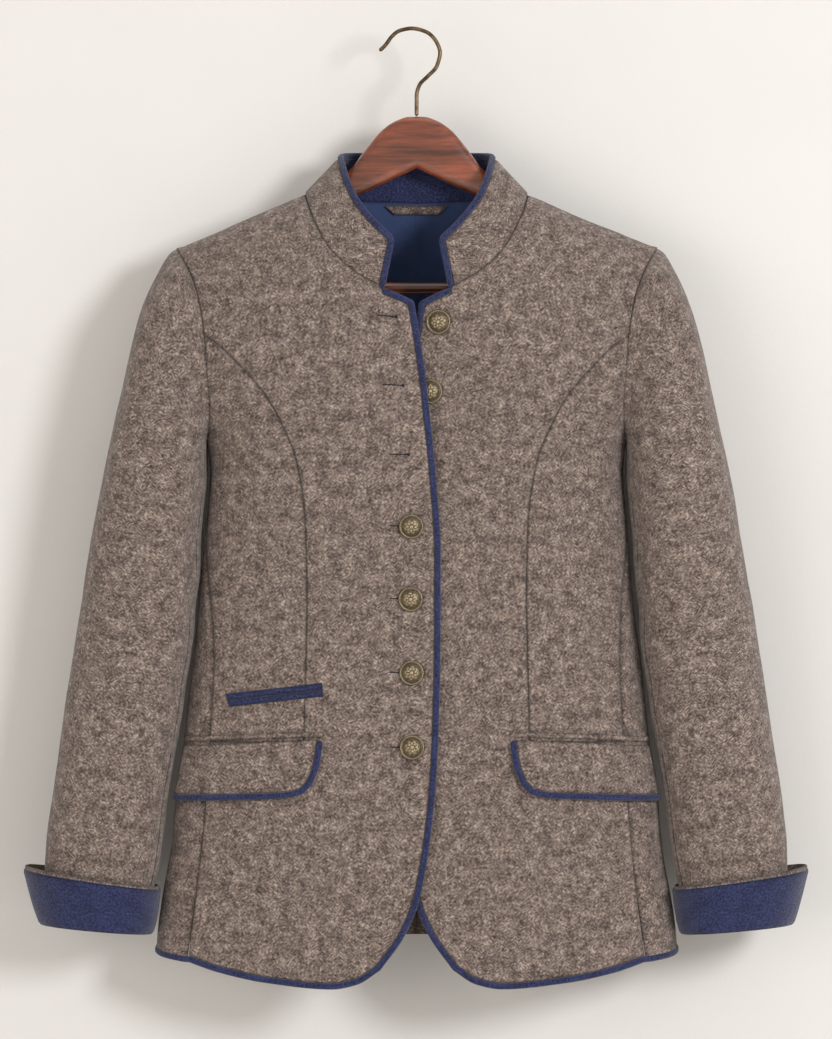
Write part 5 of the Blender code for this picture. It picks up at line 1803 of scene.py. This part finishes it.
class JACKET_OT_buttonholes(bpy.types.Operator):
    """Make the worked buttonholes"""

    bl_idname = "jacket.buttonholes"
    bl_label = "Buttonholes"

    def execute(self, context):
        for number in range(1, len(BUTTONHOLES) + 1):
            buttonhole(number, finish("navy_thread"))
        return {"FINISHED"}


class JACKET_OT_hanger(bpy.types.Operator):
    """Make the wooden hanger and its wire hook"""

    bl_idname = "jacket.hanger"
    bl_label = "Hanger"

    def execute(self, context):
        for side in (-1, 1):
            hanger_arm(side, finish("varnished_mahogany"))
        hanger_bar(finish("varnished_mahogany"))
        hanger_hook(finish("bronze_wire"))
        return {"FINISHED"}


OPERATORS = (
    JACKET_OT_stage, JACKET_OT_backs, JACKET_OT_fronts, JACKET_OT_collar, JACKET_OT_sleeves, JACKET_OT_cuffs,
    JACKET_OT_pockets, JACKET_OT_piping, JACKET_OT_buttons, JACKET_OT_buttonholes, JACKET_OT_hanger,
)


class VIEW3D_PT_jacket(bpy.types.Panel):
    """Buttons for every piece of the jacket"""

    bl_label = "Jacket"
    bl_space_type = "VIEW_3D"
    bl_region_type = "UI"
    bl_category = "Jacket"

    def draw(self, context):
        column = self.layout.column()
        for operator in OPERATORS:
            column.operator(operator.bl_idname, text=operator.bl_label)
        for group in (context.scene.jacket_sizes, context.scene.jacket_colours, context.scene.jacket_stage):
            for name in group.__annotations__:
                column.prop(group, name)


CLASSES = (JacketSizes, JacketColours, JacketStage, *OPERATORS, VIEW3D_PT_jacket)


def register():
    for made in CLASSES:
        bpy.utils.register_class(made)
    bpy.types.Scene.jacket_sizes = PointerProperty(type=JacketSizes)
    bpy.types.Scene.jacket_colours = PointerProperty(type=JacketColours)
    bpy.types.Scene.jacket_stage = PointerProperty(type=JacketStage)


def unregister():
    del bpy.types.Scene.jacket_sizes
    del bpy.types.Scene.jacket_colours
    del bpy.types.Scene.jacket_stage
    for made in reversed(CLASSES):
        bpy.utils.unregister_class(made)


def main():
    register()
    for operator in OPERATORS:
        group, name = operator.bl_idname.split(".")
        getattr(getattr(bpy.ops, group), name)()


if __name__ == "__main__":
    main()
